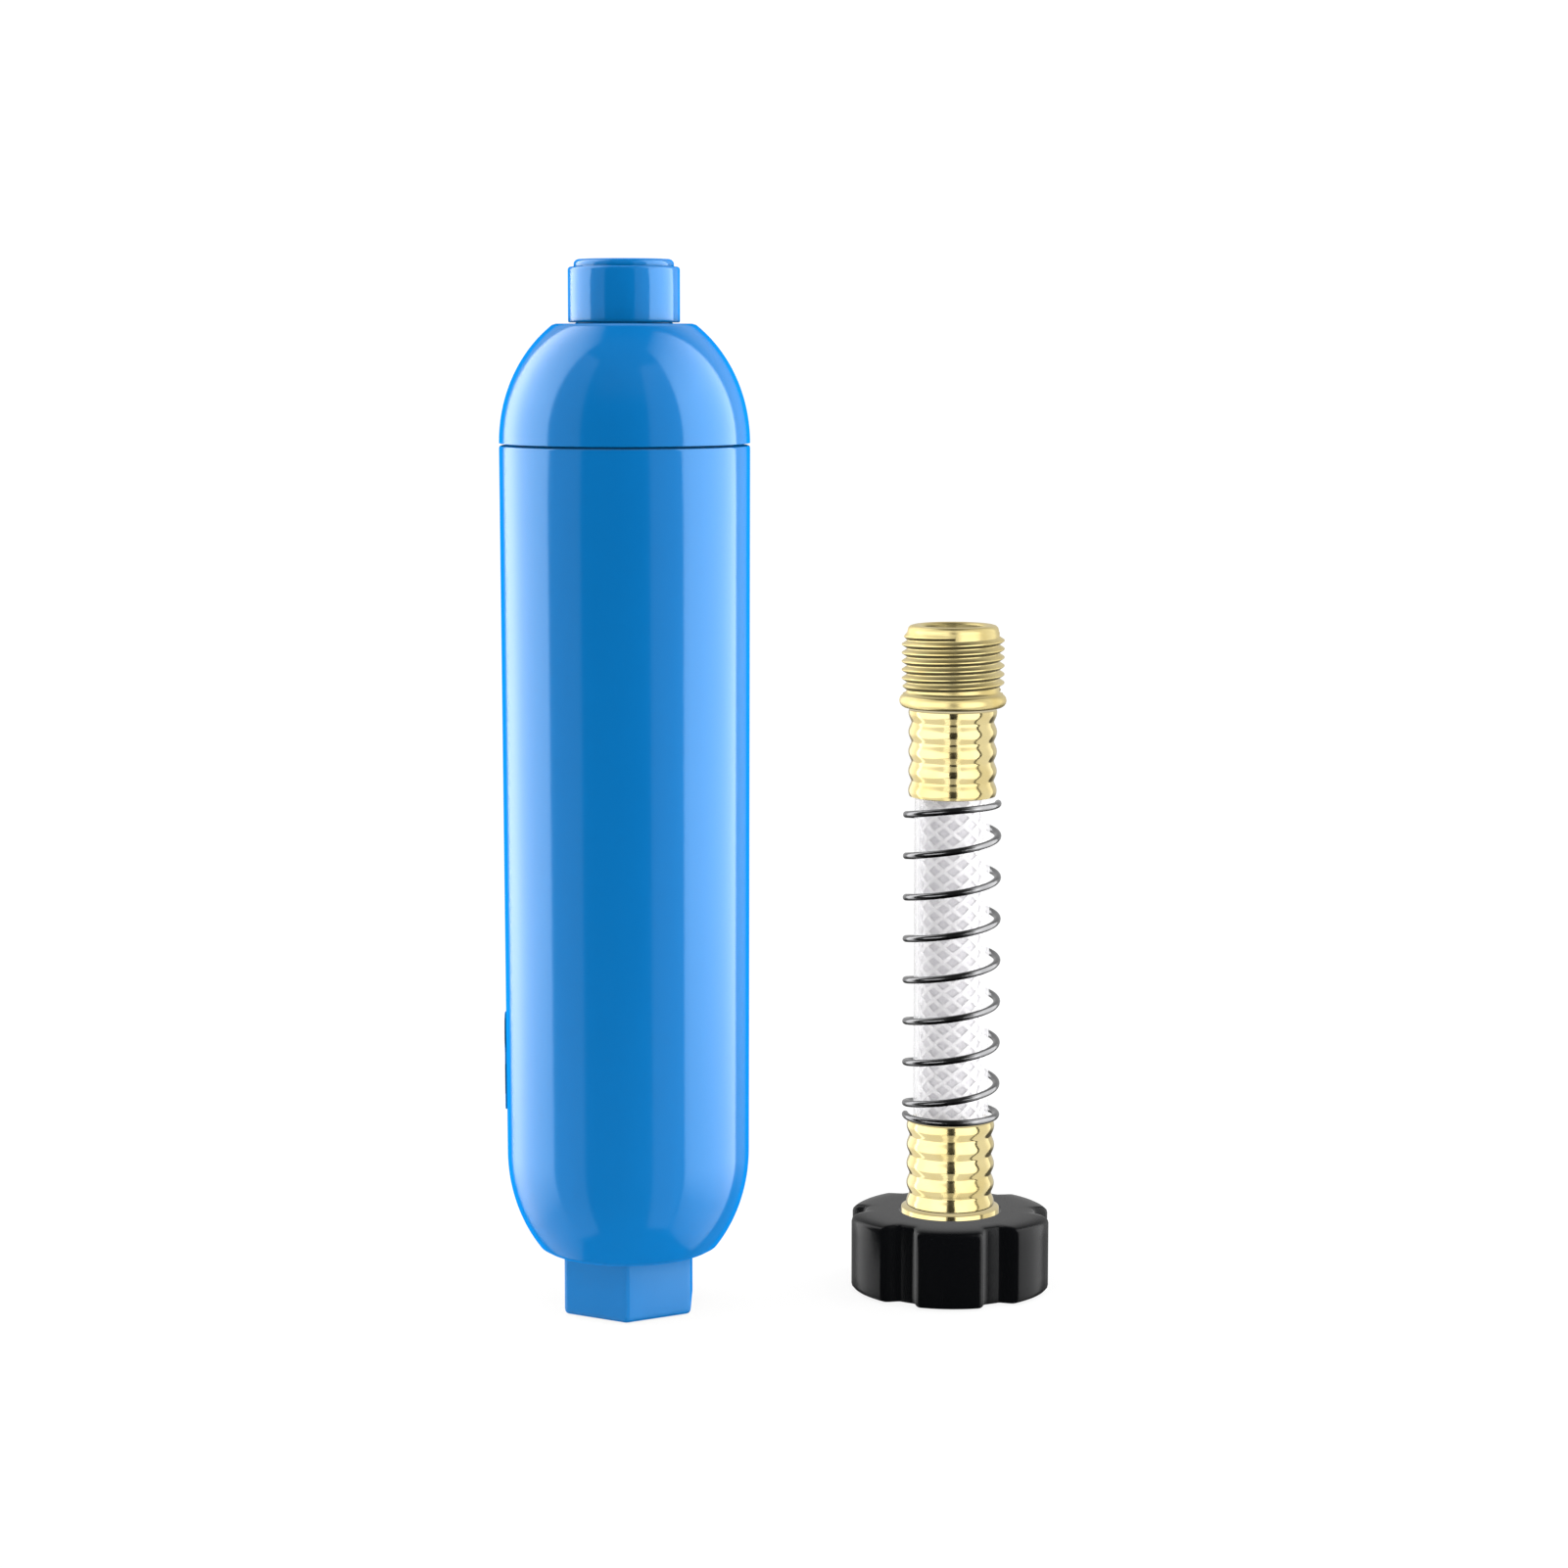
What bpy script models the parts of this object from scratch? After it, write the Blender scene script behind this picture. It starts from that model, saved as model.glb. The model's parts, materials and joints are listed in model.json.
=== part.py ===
"""Inline water filter cartridge and its flexible hose protector, as separate bench pieces.

Units are metres and +Z is up. The origin is the bottom centre of the whole kit's box, on the
surface that both things stand on. The cartridge stands inlet down, with its outlet capped. The hose
protector stands beside it on its grip nut, with its male thread up.
"""
import math

import bmesh
import bpy
from mathutils import Matrix, Vector

# Clearance between neighbouring pieces, and the facets round a turned shape
GAP = 0.0003
SHELL_SIDES = 36
FITTING_SIDES = 24

# Garden hose thread, 3/4-11.5 NH, outside and inside
NH_PITCH = 0.0254 / 11.5
NH_MALE_CREST_R = 0.0134
NH_MALE_ROOT_R = 0.0121
NH_FEMALE_CREST_R = 0.0124
NH_FEMALE_ROOT_R = 0.01365

# Cartridge shell
BODY_TOP_R = 0.03175
BODY_LOW_R = 0.0312
WALL = 0.0028
LOW_DOME_Z = 0.0415
LOW_DOME_RISE = 0.0368
LOW_DOME_END_Z = 0.0164
LOW_FACE_R = 0.0216
LOW_FACE_Z = 0.0158
INNER_DOME_R = 0.027
INNER_DOME_RISE = 0.034
SEAM_Z = 0.2232
SEAM_GAP = 0.0006
HIGH_DOME_RISE = 0.0361
SHOULDER_Z = 0.2537
HEX_ACROSS_FLATS = 0.0325
HEX_TOP_Z = 0.0159
HEX_EDGE_R = 0.0195
PORT_R = 0.008
PORT_TOP_Z = 0.0184
SOCKET_FLOOR_Z = 0.0118
SKIRT_IN_R = 0.0262
SKIRT_LOW_Z = 0.207
SKIRT_DOME_RISE = 0.028

# Outlet spigot and its dust cap
SPIGOT_TOP_Z = 0.268
SPIGOT_BORE_R = 0.0085
SPIGOT_ROOT_R = 0.012
SPIGOT_CREST_R = 0.0133
SPIGOT_LEAD_R = 0.0117
CAP_SEAT_R = 0.0145
CAP_SEAT_DEPTH = 0.0002
DUST_CAP_R = 0.0141
DUST_CAP_IN_R = 0.0136
DUST_CAP_CROWN_R = 0.0126
DUST_CAP_STEP_Z = 0.2679
DUST_CAP_TOP_Z = 0.2699

# Filter media, from the ledge up
LEDGE_Z = 0.0417
MEDIA_R = 0.0282
MEDIA_STACK = (
    ("lower_filter_pad", 0.0060, "felt"),
    ("kdf_media_bed", 0.0244, "kdf"),
    ("separator_pad", 0.0030, "felt"),
    ("carbon_bed", 0.1194, "carbon"),
    ("upper_filter_pad", 0.0060, "felt"),
)
PLATE_THICKNESS = 0.002

# Hose protector, from the grip nut up
GRIP_TOP_Z = 0.0206
GRIP_LOBE_R = 0.0267
GRIP_VALLEY_R = 0.0226
GRIP_LOBES = 6
GRIP_TURN = math.radians(-92.7)
INSERT_R = 0.0153
INSERT_NECK_R = 0.013
INSERT_TOP_Z = 0.0217
LIP_Z = 0.0185
STEM_R = 0.0062
STEM_BORE_R = 0.0047
TAILPIECE_FLANGE_R = 0.0119
TAILPIECE_FLANGE_Z = (0.0135, 0.0160)
TAILPIECE_TOP_Z = 0.041
SLEEVE_LENGTH = 0.023
LOWER_SLEEVE_Z = 0.022
UPPER_SLEEVE_Z = 0.131
HOSE_TUCK = 0.0016
HOSE_LAYERS = (
    ("hose_liner", 0.0065, 0.00775, "pvc"),
    ("hose_braid", 0.00805, 0.0086, "braid"),
    ("hose_jacket", 0.0089, 0.0099, "pvc"),
)
SPRING_R = 0.012
WIRE_R = 0.0009
SPRING_PITCH = 0.011
COLLAR_R = 0.014
COLLAR_Z = 0.1545
COLLAR_HEIGHT = 0.0036
COLLAR_EDGE = 0.0012
FITTING_TOP_Z = 0.176
FITTING_MOUTH_R = 0.0084
FITTING_TAPER_Z = (0.157, 0.162)
FITTING_LEAD_R = 0.0119
FITTING_STEM_LOW_Z = 0.133

# The hose protector's axis, measured from the cartridge's axis
HOSE_FROM_FILTER = Vector((0.08435, 0.0203))


# ---- Scene, materials and shared tools ----------------------------------------------------------

def clear_scene():
    for piece in list(bpy.data.objects):
        bpy.data.objects.remove(piece)


def new_collection(name):
    collection = bpy.data.collections.new(name)
    bpy.context.scene.collection.children.link(collection)
    return collection


def material(name, color, roughness, metallic=0.0, alpha=1.0):
    made = bpy.data.materials.new(name)
    made.use_nodes = True
    shader = made.node_tree.nodes["Principled BSDF"]
    shader.inputs["Base Color"].default_value = (*color, 1.0)
    shader.inputs["Roughness"].default_value = roughness
    shader.inputs["Metallic"].default_value = metallic
    shader.inputs["Alpha"].default_value = alpha
    return made


def turned(name, outline, finish, home, sides, parent=None):
    """A lathe-turned piece: its half outline runs down the outer side, and a Screw turns it."""
    mesh = bpy.data.meshes.new(name)
    shape = bmesh.new()
    points = [shape.verts.new((r, 0.0, z)) for r, z in outline]
    for first, second in zip(points, points[1:]):
        shape.edges.new((first, second))
    if outline[0][0] > 0.0:
        shape.edges.new((points[-1], points[0]))
    shape.to_mesh(mesh)
    shape.free()
    piece = bpy.data.objects.new(name, mesh)
    home.objects.link(piece)
    piece.parent = parent
    lathe = piece.modifiers.new("Lathe", "SCREW")
    lathe.steps = lathe.render_steps = sides
    lathe.use_merge_vertices = True
    lathe.merge_threshold = 0.00001
    piece.data.materials.append(finish)
    return piece


def cut(piece, cutter, operation="DIFFERENCE"):
    """Add a Boolean, and keep the tool as a wire guide that doesn't render."""
    change = piece.modifiers.new(cutter.name, "BOOLEAN")
    change.operation = operation
    change.solver = "EXACT"
    change.object = cutter
    cutter.hide_render = True
    cutter.display_type = "WIRE"


def prism(name, outline, low, high, home, parent=None):
    """A flat outline as a filled 2D curve, extruded and made a mesh with closed edges."""
    curve = bpy.data.curves.new(name, "CURVE")
    curve.dimensions = "2D"
    curve.fill_mode = "BOTH"
    curve.extrude = (high - low) / 2
    spline = curve.splines.new("POLY")
    spline.points.add(len(outline) - 1)
    for point, (x, y) in zip(spline.points, outline):
        point.co = (x, y, 0.0, 1.0)
    spline.use_cyclic_u = True
    drawn = bpy.data.objects.new(name + "_curve", curve)
    home.objects.link(drawn)
    piece = mesh_copy(drawn, name, home, parent)
    piece.data.transform(Matrix.Translation((0.0, 0.0, (low + high) / 2)))
    return piece


def mesh_copy(curve_object, name, home, parent=None):
    """Turn a curve object into a mesh object of the given name, and remove the curve."""
    bpy.context.view_layer.update()
    evaluated = curve_object.evaluated_get(bpy.context.evaluated_depsgraph_get())
    mesh = bpy.data.meshes.new_from_object(evaluated)
    shape = bmesh.new()
    shape.from_mesh(mesh)
    bmesh.ops.remove_doubles(shape, verts=shape.verts, dist=0.000001)
    bmesh.ops.recalc_face_normals(shape, faces=shape.faces)
    shape.to_mesh(mesh)
    shape.free()
    piece = bpy.data.objects.new(name, mesh)
    piece.matrix_world = curve_object.matrix_world
    home.objects.link(piece)
    piece.parent = parent
    bpy.data.objects.remove(curve_object)
    return piece


def arc(radius, rise, center_z, start_deg, end_deg, steps):
    """Points (r, z) on a quarter of an ellipse, with 0 degrees level and 90 degrees at the top."""
    angles = [math.radians(start_deg + (end_deg - start_deg) * i / steps) for i in range(steps + 1)]
    return [(radius * math.cos(a), center_z + rise * math.sin(a)) for a in angles]


def dome_angle(rise, height):
    """The angle at which a dome of that rise stands at a height over its rim, in degrees."""
    return math.degrees(math.asin(height / rise))


def thread_rings(first_z, count, root_r, crest_r, step):
    """Half outline of thread turns: one ridge from root to crest for each pitch, as plain rings."""
    rings = [(root_r, first_z - step / 2)]
    for i in range(count):
        rings += [(crest_r, first_z + step * i), (root_r, first_z + step * (i + 0.5))]
    return rings


# ---- Cartridge ----------------------------------------------------------------------------------

def housing_body(home, tools, axis, blue):
    """Long shell: drafted wall, lower dome, hex inlet, threaded socket and raised flow arrow."""
    low_edge = dome_angle(LOW_DOME_RISE, LOW_DOME_Z - LOW_DOME_END_Z)
    outer = [(0.0, SEAM_Z), (BODY_TOP_R - 0.0004, SEAM_Z), (BODY_TOP_R, SEAM_Z - 0.0004)]
    outer += arc(BODY_LOW_R, LOW_DOME_RISE, LOW_DOME_Z, 0, -low_edge, 9)
    outer += [(LOW_FACE_R, LOW_FACE_Z), (0.0, LOW_FACE_Z)]
    body = turned("housing_body", outer, blue, home, SHELL_SIDES, axis)

    corner_r = HEX_ACROSS_FLATS / 2 / math.cos(math.pi / 6)
    corners = [(corner_r * math.cos(a), corner_r * math.sin(a))
               for a in [math.radians(30 + 60 * i) for i in range(6)]]
    hexagon = prism("hex_inlet", corners, 0.0, HEX_TOP_Z + 0.0015, tools, axis)
    rounding = [(0.0, 0.018), (HEX_EDGE_R, 0.018), (HEX_EDGE_R, 0.0012),
                (HEX_EDGE_R - 0.0015, 0.0), (0.0, 0.0)]
    foot = turned("hex_foot_rounding", rounding, blue, tools, SHELL_SIDES, axis)
    cut(hexagon, foot, "INTERSECT")
    cut(body, hexagon, "UNION")
    cut(body, flow_arrow(tools, axis, blue), "UNION")

    inner_edge = dome_angle(INNER_DOME_RISE, LOW_DOME_Z - PORT_TOP_Z)
    hollow = [(0.0, SEAM_Z + 0.001), (BODY_TOP_R - WALL, SEAM_Z + 0.001),
              (BODY_LOW_R - WALL + 0.0002, LEDGE_Z)]
    hollow += arc(INNER_DOME_R, INNER_DOME_RISE, LOW_DOME_Z, 0, -inner_edge, 5)
    hollow += [(PORT_R, PORT_TOP_Z), (PORT_R, SOCKET_FLOOR_Z), (NH_FEMALE_CREST_R, SOCKET_FLOOR_Z)]
    hollow += thread_rings(0.0085, 4, NH_FEMALE_CREST_R, NH_FEMALE_ROOT_R, -NH_PITCH)
    hollow += [(NH_FEMALE_CREST_R, 0.0009), (0.0139, -0.0002), (0.0139, -0.001), (0.0, -0.001)]
    cut(body, turned("shell_hollow", hollow, blue, tools, SHELL_SIDES, axis))
    return body


def flow_arrow(tools, axis, blue):
    """Raised arrow on the left side, its head up, that follows the wall half a millimetre proud."""
    shaft_low, neck, tip = 0.0521, 0.0681, 0.0779
    shaft_half, head_half = 0.0013, 0.0036
    outline = [(shaft_low, -shaft_half), (neck, -shaft_half), (neck, -head_half), (tip, 0.0),
               (neck, head_half), (neck, shaft_half), (shaft_low, shaft_half)]
    arrow = prism("flow_arrow", outline, 0.0295, 0.0335, tools, axis)
    arrow.data.transform(Matrix.Rotation(math.radians(-90), 4, "Y"))
    skin = turned("arrow_skin", [(0.0, 0.09), (BODY_LOW_R + 0.0006, 0.09),
                                 (BODY_LOW_R + 0.0005, 0.045), (0.0, 0.045)],
                  blue, tools, SHELL_SIDES, axis)
    cut(arrow, skin, "INTERSECT")
    return arrow


def housing_cap(home, axis, blue):
    """Upper dome with a skirt that plugs into the shell, and the threaded outlet spigot.

    The flat shoulder round the spigot has a shallow seat for the rim of the dust cap.
    """
    rim_z = SEAM_Z + SEAM_GAP
    top_edge = dome_angle(HIGH_DOME_RISE, SHOULDER_Z - rim_z)
    skirt_r = BODY_TOP_R - WALL - GAP - 0.00005
    seat_z = SHOULDER_Z - CAP_SEAT_DEPTH
    outline = [(SPIGOT_BORE_R, SPIGOT_TOP_Z), (SPIGOT_LEAD_R - 0.0008, SPIGOT_TOP_Z),
               (SPIGOT_LEAD_R, SPIGOT_TOP_Z - 0.0008), (SPIGOT_LEAD_R, SPIGOT_TOP_Z - 0.0018)]
    outline += thread_rings(SPIGOT_TOP_Z - 0.0032, 5, SPIGOT_ROOT_R, SPIGOT_CREST_R, -NH_PITCH)
    outline += [(SPIGOT_ROOT_R, seat_z), (CAP_SEAT_R, seat_z), (CAP_SEAT_R, SHOULDER_Z)]
    outline += arc(BODY_TOP_R, HIGH_DOME_RISE, rim_z, 0, top_edge, 9)[::-1]
    outline += [(skirt_r, rim_z), (skirt_r, SKIRT_LOW_Z + 0.001), (skirt_r - 0.0006, SKIRT_LOW_Z),
                (SKIRT_IN_R, SKIRT_LOW_Z)]
    bore_edge = math.degrees(math.acos(SPIGOT_BORE_R / SKIRT_IN_R))
    outline += arc(SKIRT_IN_R, SKIRT_DOME_RISE, rim_z, 0, bore_edge, 6)
    return turned("housing_cap", outline, blue, home, SHELL_SIDES, axis)


def outlet_dust_cap(home, axis, blue):
    """Push-on cap over the outlet thread, closed on top, with a stepped and chamfered crown."""
    low = SHOULDER_Z + GAP
    roof_z = SPIGOT_TOP_Z + 0.0004
    collar_r, collar_z = SPIGOT_LEAD_R + 0.00035, roof_z - 0.0015
    outline = [(0.0, DUST_CAP_TOP_Z), (DUST_CAP_CROWN_R - 0.0007, DUST_CAP_TOP_Z),
               (DUST_CAP_CROWN_R, DUST_CAP_TOP_Z - 0.0007), (DUST_CAP_CROWN_R, DUST_CAP_STEP_Z),
               (DUST_CAP_R - 0.0005, DUST_CAP_STEP_Z), (DUST_CAP_R, DUST_CAP_STEP_Z - 0.0005),
               (DUST_CAP_R, low), (DUST_CAP_IN_R, low), (DUST_CAP_IN_R, collar_z),
               (collar_r, collar_z), (collar_r, roof_z), (0.0, roof_z)]
    return turned("outlet_dust_cap", outline, blue, home, SHELL_SIDES, axis)


def disc(name, radius, low, high, finish, home, axis, sides=SHELL_SIDES):
    return turned(name, [(0.0, high), (radius, high), (radius, low), (0.0, low)],
                  finish, home, sides, axis)


def ring(name, inner, outer, low, high, finish, home, axis, sides=FITTING_SIDES):
    return turned(name, [(outer, high), (outer, low), (inner, low), (inner, high)],
                  finish, home, sides, axis)


def perforated_plate(name, low, home, tools, axis, finish):
    """Media retaining disc with two rings of drilled holes."""
    plate = disc(name, MEDIA_R, low, low + PLATE_THICKNESS, finish, home, axis)
    mesh = bpy.data.meshes.new(name + "_drill")
    drills = bmesh.new()
    for count, ring_r in ((6, 0.009), (12, 0.020)):
        for i in range(count):
            spot = Matrix.Rotation(math.tau * i / count, 4, "Z")
            spot = spot @ Matrix.Translation((ring_r, 0.0, low + PLATE_THICKNESS / 2))
            bmesh.ops.create_cone(drills, cap_ends=True, segments=8, radius1=0.0018, radius2=0.0018,
                                  depth=2 * PLATE_THICKNESS, matrix=spot)
    drills.to_mesh(mesh)
    drills.free()
    drill = bpy.data.objects.new(name + "_drill", mesh)
    tools.objects.link(drill)
    drill.parent = axis
    cut(plate, drill)
    return plate


def filter_media(home, tools, axis, finishes):
    """Plate, pad, granules, pad, carbon, pad and plate, stacked from the ledge up."""
    z = LEDGE_Z + GAP
    pieces = [perforated_plate("lower_media_plate", z, home, tools, axis, finishes["plate"])]
    z += PLATE_THICKNESS + GAP
    for name, height, finish in MEDIA_STACK:
        pieces.append(disc(name, MEDIA_R, z, z + height, finishes[finish], home, axis))
        z += height + GAP
    pieces.append(perforated_plate("upper_media_plate", z, home, tools, axis, finishes["plate"]))
    return pieces


def cartridge(home, tools, axis, finishes):
    pieces = [
        housing_body(home, tools, axis, finishes["blue"]),
        housing_cap(home, axis, finishes["blue"]),
        ring("inlet_washer", 0.0075, 0.012, SOCKET_FLOOR_Z - GAP - 0.0022, SOCKET_FLOOR_Z - GAP,
             finishes["rubber"], home, axis),
        disc("inlet_strainer", 0.0072, 0.0102, 0.0107, finishes["steel"], home, axis,
             FITTING_SIDES),
    ]
    return pieces + filter_media(home, tools, axis, finishes)


# ---- Hose protector -----------------------------------------------------------------------------

def grip_outline():
    """Six flat lobes with quick rounded flanks, as a radius that depends on the angle."""
    points = []
    steps = 14 * GRIP_LOBES
    for i in range(steps):
        angle = math.tau * i / steps
        off = abs((math.degrees(angle) + 30) % 60 - 30)
        ease = min(max((off - 17.5) / 7.5, 0.0), 1.0)
        ease = ease * ease * (3 - 2 * ease)
        radius = GRIP_LOBE_R + (GRIP_VALLEY_R - GRIP_LOBE_R) * ease
        points.append((radius * math.cos(angle + GRIP_TURN), radius * math.sin(angle + GRIP_TURN)))
    return points


def swivel_nut_grip(home, tools, axis, black):
    """Moulded grip over the brass nut: lobed outside, bored inside, with a lip at the top."""
    grip = prism("swivel_nut_grip", grip_outline(), 0.0, GRIP_TOP_Z, home, axis)
    grip.data.materials.append(black)
    lip_low = LIP_Z + GAP
    bore = [(0.0, GRIP_TOP_Z + 0.001), (INSERT_NECK_R + GAP, GRIP_TOP_Z + 0.001),
            (INSERT_NECK_R + GAP, lip_low), (INSERT_R + GAP, lip_low),
            (INSERT_R + GAP, -0.001), (0.0, -0.001)]
    cut(grip, turned("grip_bore", bore, black, tools, FITTING_SIDES, axis))
    return grip


def nut_thread_insert(home, axis, brass):
    """Brass swivel nut: female hose thread, washer seat, and an inward lip over the tailpiece."""
    mouth_r, mouth_z, lip_r = 0.0139, 0.0006, STEM_R + 0.0006
    outline = [(INSERT_NECK_R - 0.0003, INSERT_TOP_Z), (INSERT_NECK_R, INSERT_TOP_Z - 0.0003),
               (INSERT_NECK_R, LIP_Z), (INSERT_R, LIP_Z), (INSERT_R, mouth_z), (mouth_r, mouth_z)]
    outline += thread_rings(mouth_z + 0.002, 4, NH_FEMALE_CREST_R, NH_FEMALE_ROOT_R, NH_PITCH)
    outline += [(NH_FEMALE_CREST_R, LIP_Z), (lip_r, LIP_Z), (lip_r, INSERT_TOP_Z)]
    return turned("nut_thread_insert", outline, brass, home, FITTING_SIDES, axis)


def tailpiece(home, axis, brass):
    """Flanged brass stem: the flange turns in the nut, and the stem is crimped into the hose."""
    low, high = TAILPIECE_FLANGE_Z
    outline = [(STEM_R - 0.0004, TAILPIECE_TOP_Z), (STEM_R, TAILPIECE_TOP_Z - 0.0008),
               (STEM_R, high), (TAILPIECE_FLANGE_R, high), (TAILPIECE_FLANGE_R, low),
               (STEM_BORE_R, low), (STEM_BORE_R, TAILPIECE_TOP_Z)]
    return turned("tailpiece", outline, brass, home, FITTING_SIDES, axis)


def sleeve(name, free_end_z, up, home, axis, brass):
    """Ribbed crimp ferrule: five rolled ribs, and an inward flange at the end far from the hose."""
    trough, crest, inner = 0.0106, 0.0115, 0.0102
    first_rib, rib_pitch, rib_half, crest_half = 0.0016, 0.00515, 0.0015, 0.0006
    flange = SLEEVE_LENGTH - 0.0013
    outside = []
    for i in range(5):
        middle = first_rib + rib_pitch * i
        outside += [(trough, middle - rib_half), (crest, middle - crest_half),
                    (crest, middle + crest_half), (trough, middle + rib_half)]
    outside[-1] = (trough, SLEEVE_LENGTH)
    inside = [(STEM_R + GAP, SLEEVE_LENGTH), (STEM_R + GAP, flange), (inner, flange), (inner, 0.0)]
    outline = [(r, free_end_z + up * along) for r, along in outside + inside]
    if up > 0:
        outline.reverse()
    return turned(name, outline, brass, home, FITTING_SIDES, axis)


def guard_spring(home, axis, steel):
    """Right-handed open coil whose end turns flatten against the two sleeves."""
    low = LOWER_SLEEVE_Z + SLEEVE_LENGTH + WIRE_R + 0.0004
    high = UPPER_SLEEVE_Z - WIRE_R - 0.0008
    turns_before, turns, per_turn = 0.5, 8.5, 14
    curve = bpy.data.curves.new("guard_spring", "CURVE")
    curve.dimensions = "3D"
    curve.bevel_depth = WIRE_R
    curve.bevel_resolution = 2
    curve.use_fill_caps = True
    wire = curve.splines.new("POLY")
    wire.points.add(int(turns * per_turn))
    for i, point in enumerate(wire.points):
        turn = i / per_turn - turns_before
        free_z = 0.0438 + SPRING_PITCH * turn
        ease = 0.001
        z = (low + high + math.hypot(free_z - low, ease) - math.hypot(free_z - high, ease)) / 2
        angle = math.tau * turn
        point.co = (SPRING_R * math.cos(angle), SPRING_R * math.sin(angle), z, 1.0)
    curve.materials.append(steel)
    spring = bpy.data.objects.new("guard_spring", curve)
    home.objects.link(spring)
    spring.parent = axis
    return spring


def male_fitting(home, axis, brass):
    """Brass male hose thread over a round collar, with a stem crimped into the hose."""
    lead_low, first_crest = FITTING_TOP_Z - 0.0037, FITTING_TOP_Z - 0.0055
    collar_top = COLLAR_Z + COLLAR_HEIGHT
    bore_low, bore_high = FITTING_TAPER_Z
    outline = [(FITTING_MOUTH_R, FITTING_TOP_Z), (FITTING_LEAD_R - 0.0011, FITTING_TOP_Z),
               (FITTING_LEAD_R, FITTING_TOP_Z - 0.0012), (FITTING_LEAD_R, lead_low)]
    outline += thread_rings(first_crest, 6, NH_MALE_ROOT_R, NH_MALE_CREST_R, -NH_PITCH)
    outline += [(NH_MALE_ROOT_R, collar_top), (COLLAR_R - COLLAR_EDGE, collar_top),
                (COLLAR_R, collar_top - COLLAR_EDGE), (COLLAR_R, COLLAR_Z + COLLAR_EDGE),
                (COLLAR_R - COLLAR_EDGE, COLLAR_Z), (STEM_R, COLLAR_Z),
                (STEM_R, FITTING_STEM_LOW_Z + 0.0008), (STEM_R - 0.0004, FITTING_STEM_LOW_Z),
                (STEM_BORE_R, FITTING_STEM_LOW_Z), (STEM_BORE_R, bore_low),
                (FITTING_MOUTH_R, bore_high)]
    return turned("male_fitting", outline, brass, home, FITTING_SIDES, axis)


def swivel_o_ring(home, axis, rubber):
    """Round seal between the tailpiece flange and the nut's lip."""
    middle_r, section_r = 0.0088, 0.0009
    middle_z = (TAILPIECE_FLANGE_Z[1] + LIP_Z) / 2
    section = [(middle_r + section_r * math.cos(a), middle_z - section_r * math.sin(a))
               for a in [math.tau * (i + 0.5) / 8 for i in range(8)]]
    return turned("swivel_o_ring", section, rubber, home, FITTING_SIDES, axis)


def hose_protector(home, tools, axis, finishes):
    """Everything on the hose's axis; the swivel nut and the hose head have joints of their own."""
    hose_low = LOWER_SLEEVE_Z + HOSE_TUCK
    hose_high = UPPER_SLEEVE_Z + SLEEVE_LENGTH - HOSE_TUCK
    sleeve_top = LOWER_SLEEVE_Z + SLEEVE_LENGTH
    pieces = [
        swivel_nut_grip(home, tools, axis, finishes["black"]),
        nut_thread_insert(home, axis, finishes["brass"]),
        ring("nut_washer", 0.0072, 0.0121, 0.0107, 0.0132, finishes["rubber"], home, axis),
        swivel_o_ring(home, axis, finishes["rubber"]),
        tailpiece(home, axis, finishes["brass"]),
        sleeve("lower_sleeve", sleeve_top, -1, home, axis, finishes["brass"]),
        guard_spring(home, axis, finishes["steel"]),
    ]
    for name, inner, outer, finish in HOSE_LAYERS:
        pieces.append(ring(name, inner, outer, hose_low, hose_high, finishes[finish], home, axis))

    bend_height = (sleeve_top + UPPER_SLEEVE_Z) / 2
    bend = bpy.data.objects.new("hose_bend_axis", None)
    home.objects.link(bend)
    bend.parent = axis
    bend.location.z = bend_height
    for piece in (sleeve("upper_sleeve", UPPER_SLEEVE_Z, 1, home, bend, finishes["brass"]),
                  male_fitting(home, bend, finishes["brass"])):
        piece.data.transform(Matrix.Translation((0.0, 0.0, -bend_height)))
        pieces.append(piece)
    return pieces


# ---- The kit ------------------------------------------------------------------------------------

def kit_axes(home):
    """Two upright axes, placed so that the whole kit's box is centred on the origin."""
    arrow_reach = BODY_LOW_R + 0.00054
    left = -max(BODY_TOP_R, arrow_reach)
    outline = grip_outline()
    right = HOSE_FROM_FILTER.x + max(x for x, y in outline)
    front = -BODY_TOP_R
    back = HOSE_FROM_FILTER.y + max(y for x, y in outline)
    filter_at = Vector((-(left + right) / 2, -(front + back) / 2))
    places = (("filter_axis", filter_at), ("hose_axis", filter_at + HOSE_FROM_FILTER))
    made = []
    for name, (x, y) in places:
        empty = bpy.data.objects.new(name, None)
        empty.location = (x, y, 0.0)
        home.objects.link(empty)
        made.append(empty)
    return made


def shade(pieces):
    """Smooth shading with crisp corners on every turned mesh."""
    bpy.context.view_layer.update()
    graph = bpy.context.evaluated_depsgraph_get()
    for piece in [p for p in pieces if p.type == "MESH"]:
        mesh = bpy.data.meshes.new_from_object(piece.evaluated_get(graph))
        mesh.shade_smooth()
        mesh.set_sharp_from_angle(angle=math.radians(35))
        piece.modifiers.clear()
        piece.data = mesh


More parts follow.
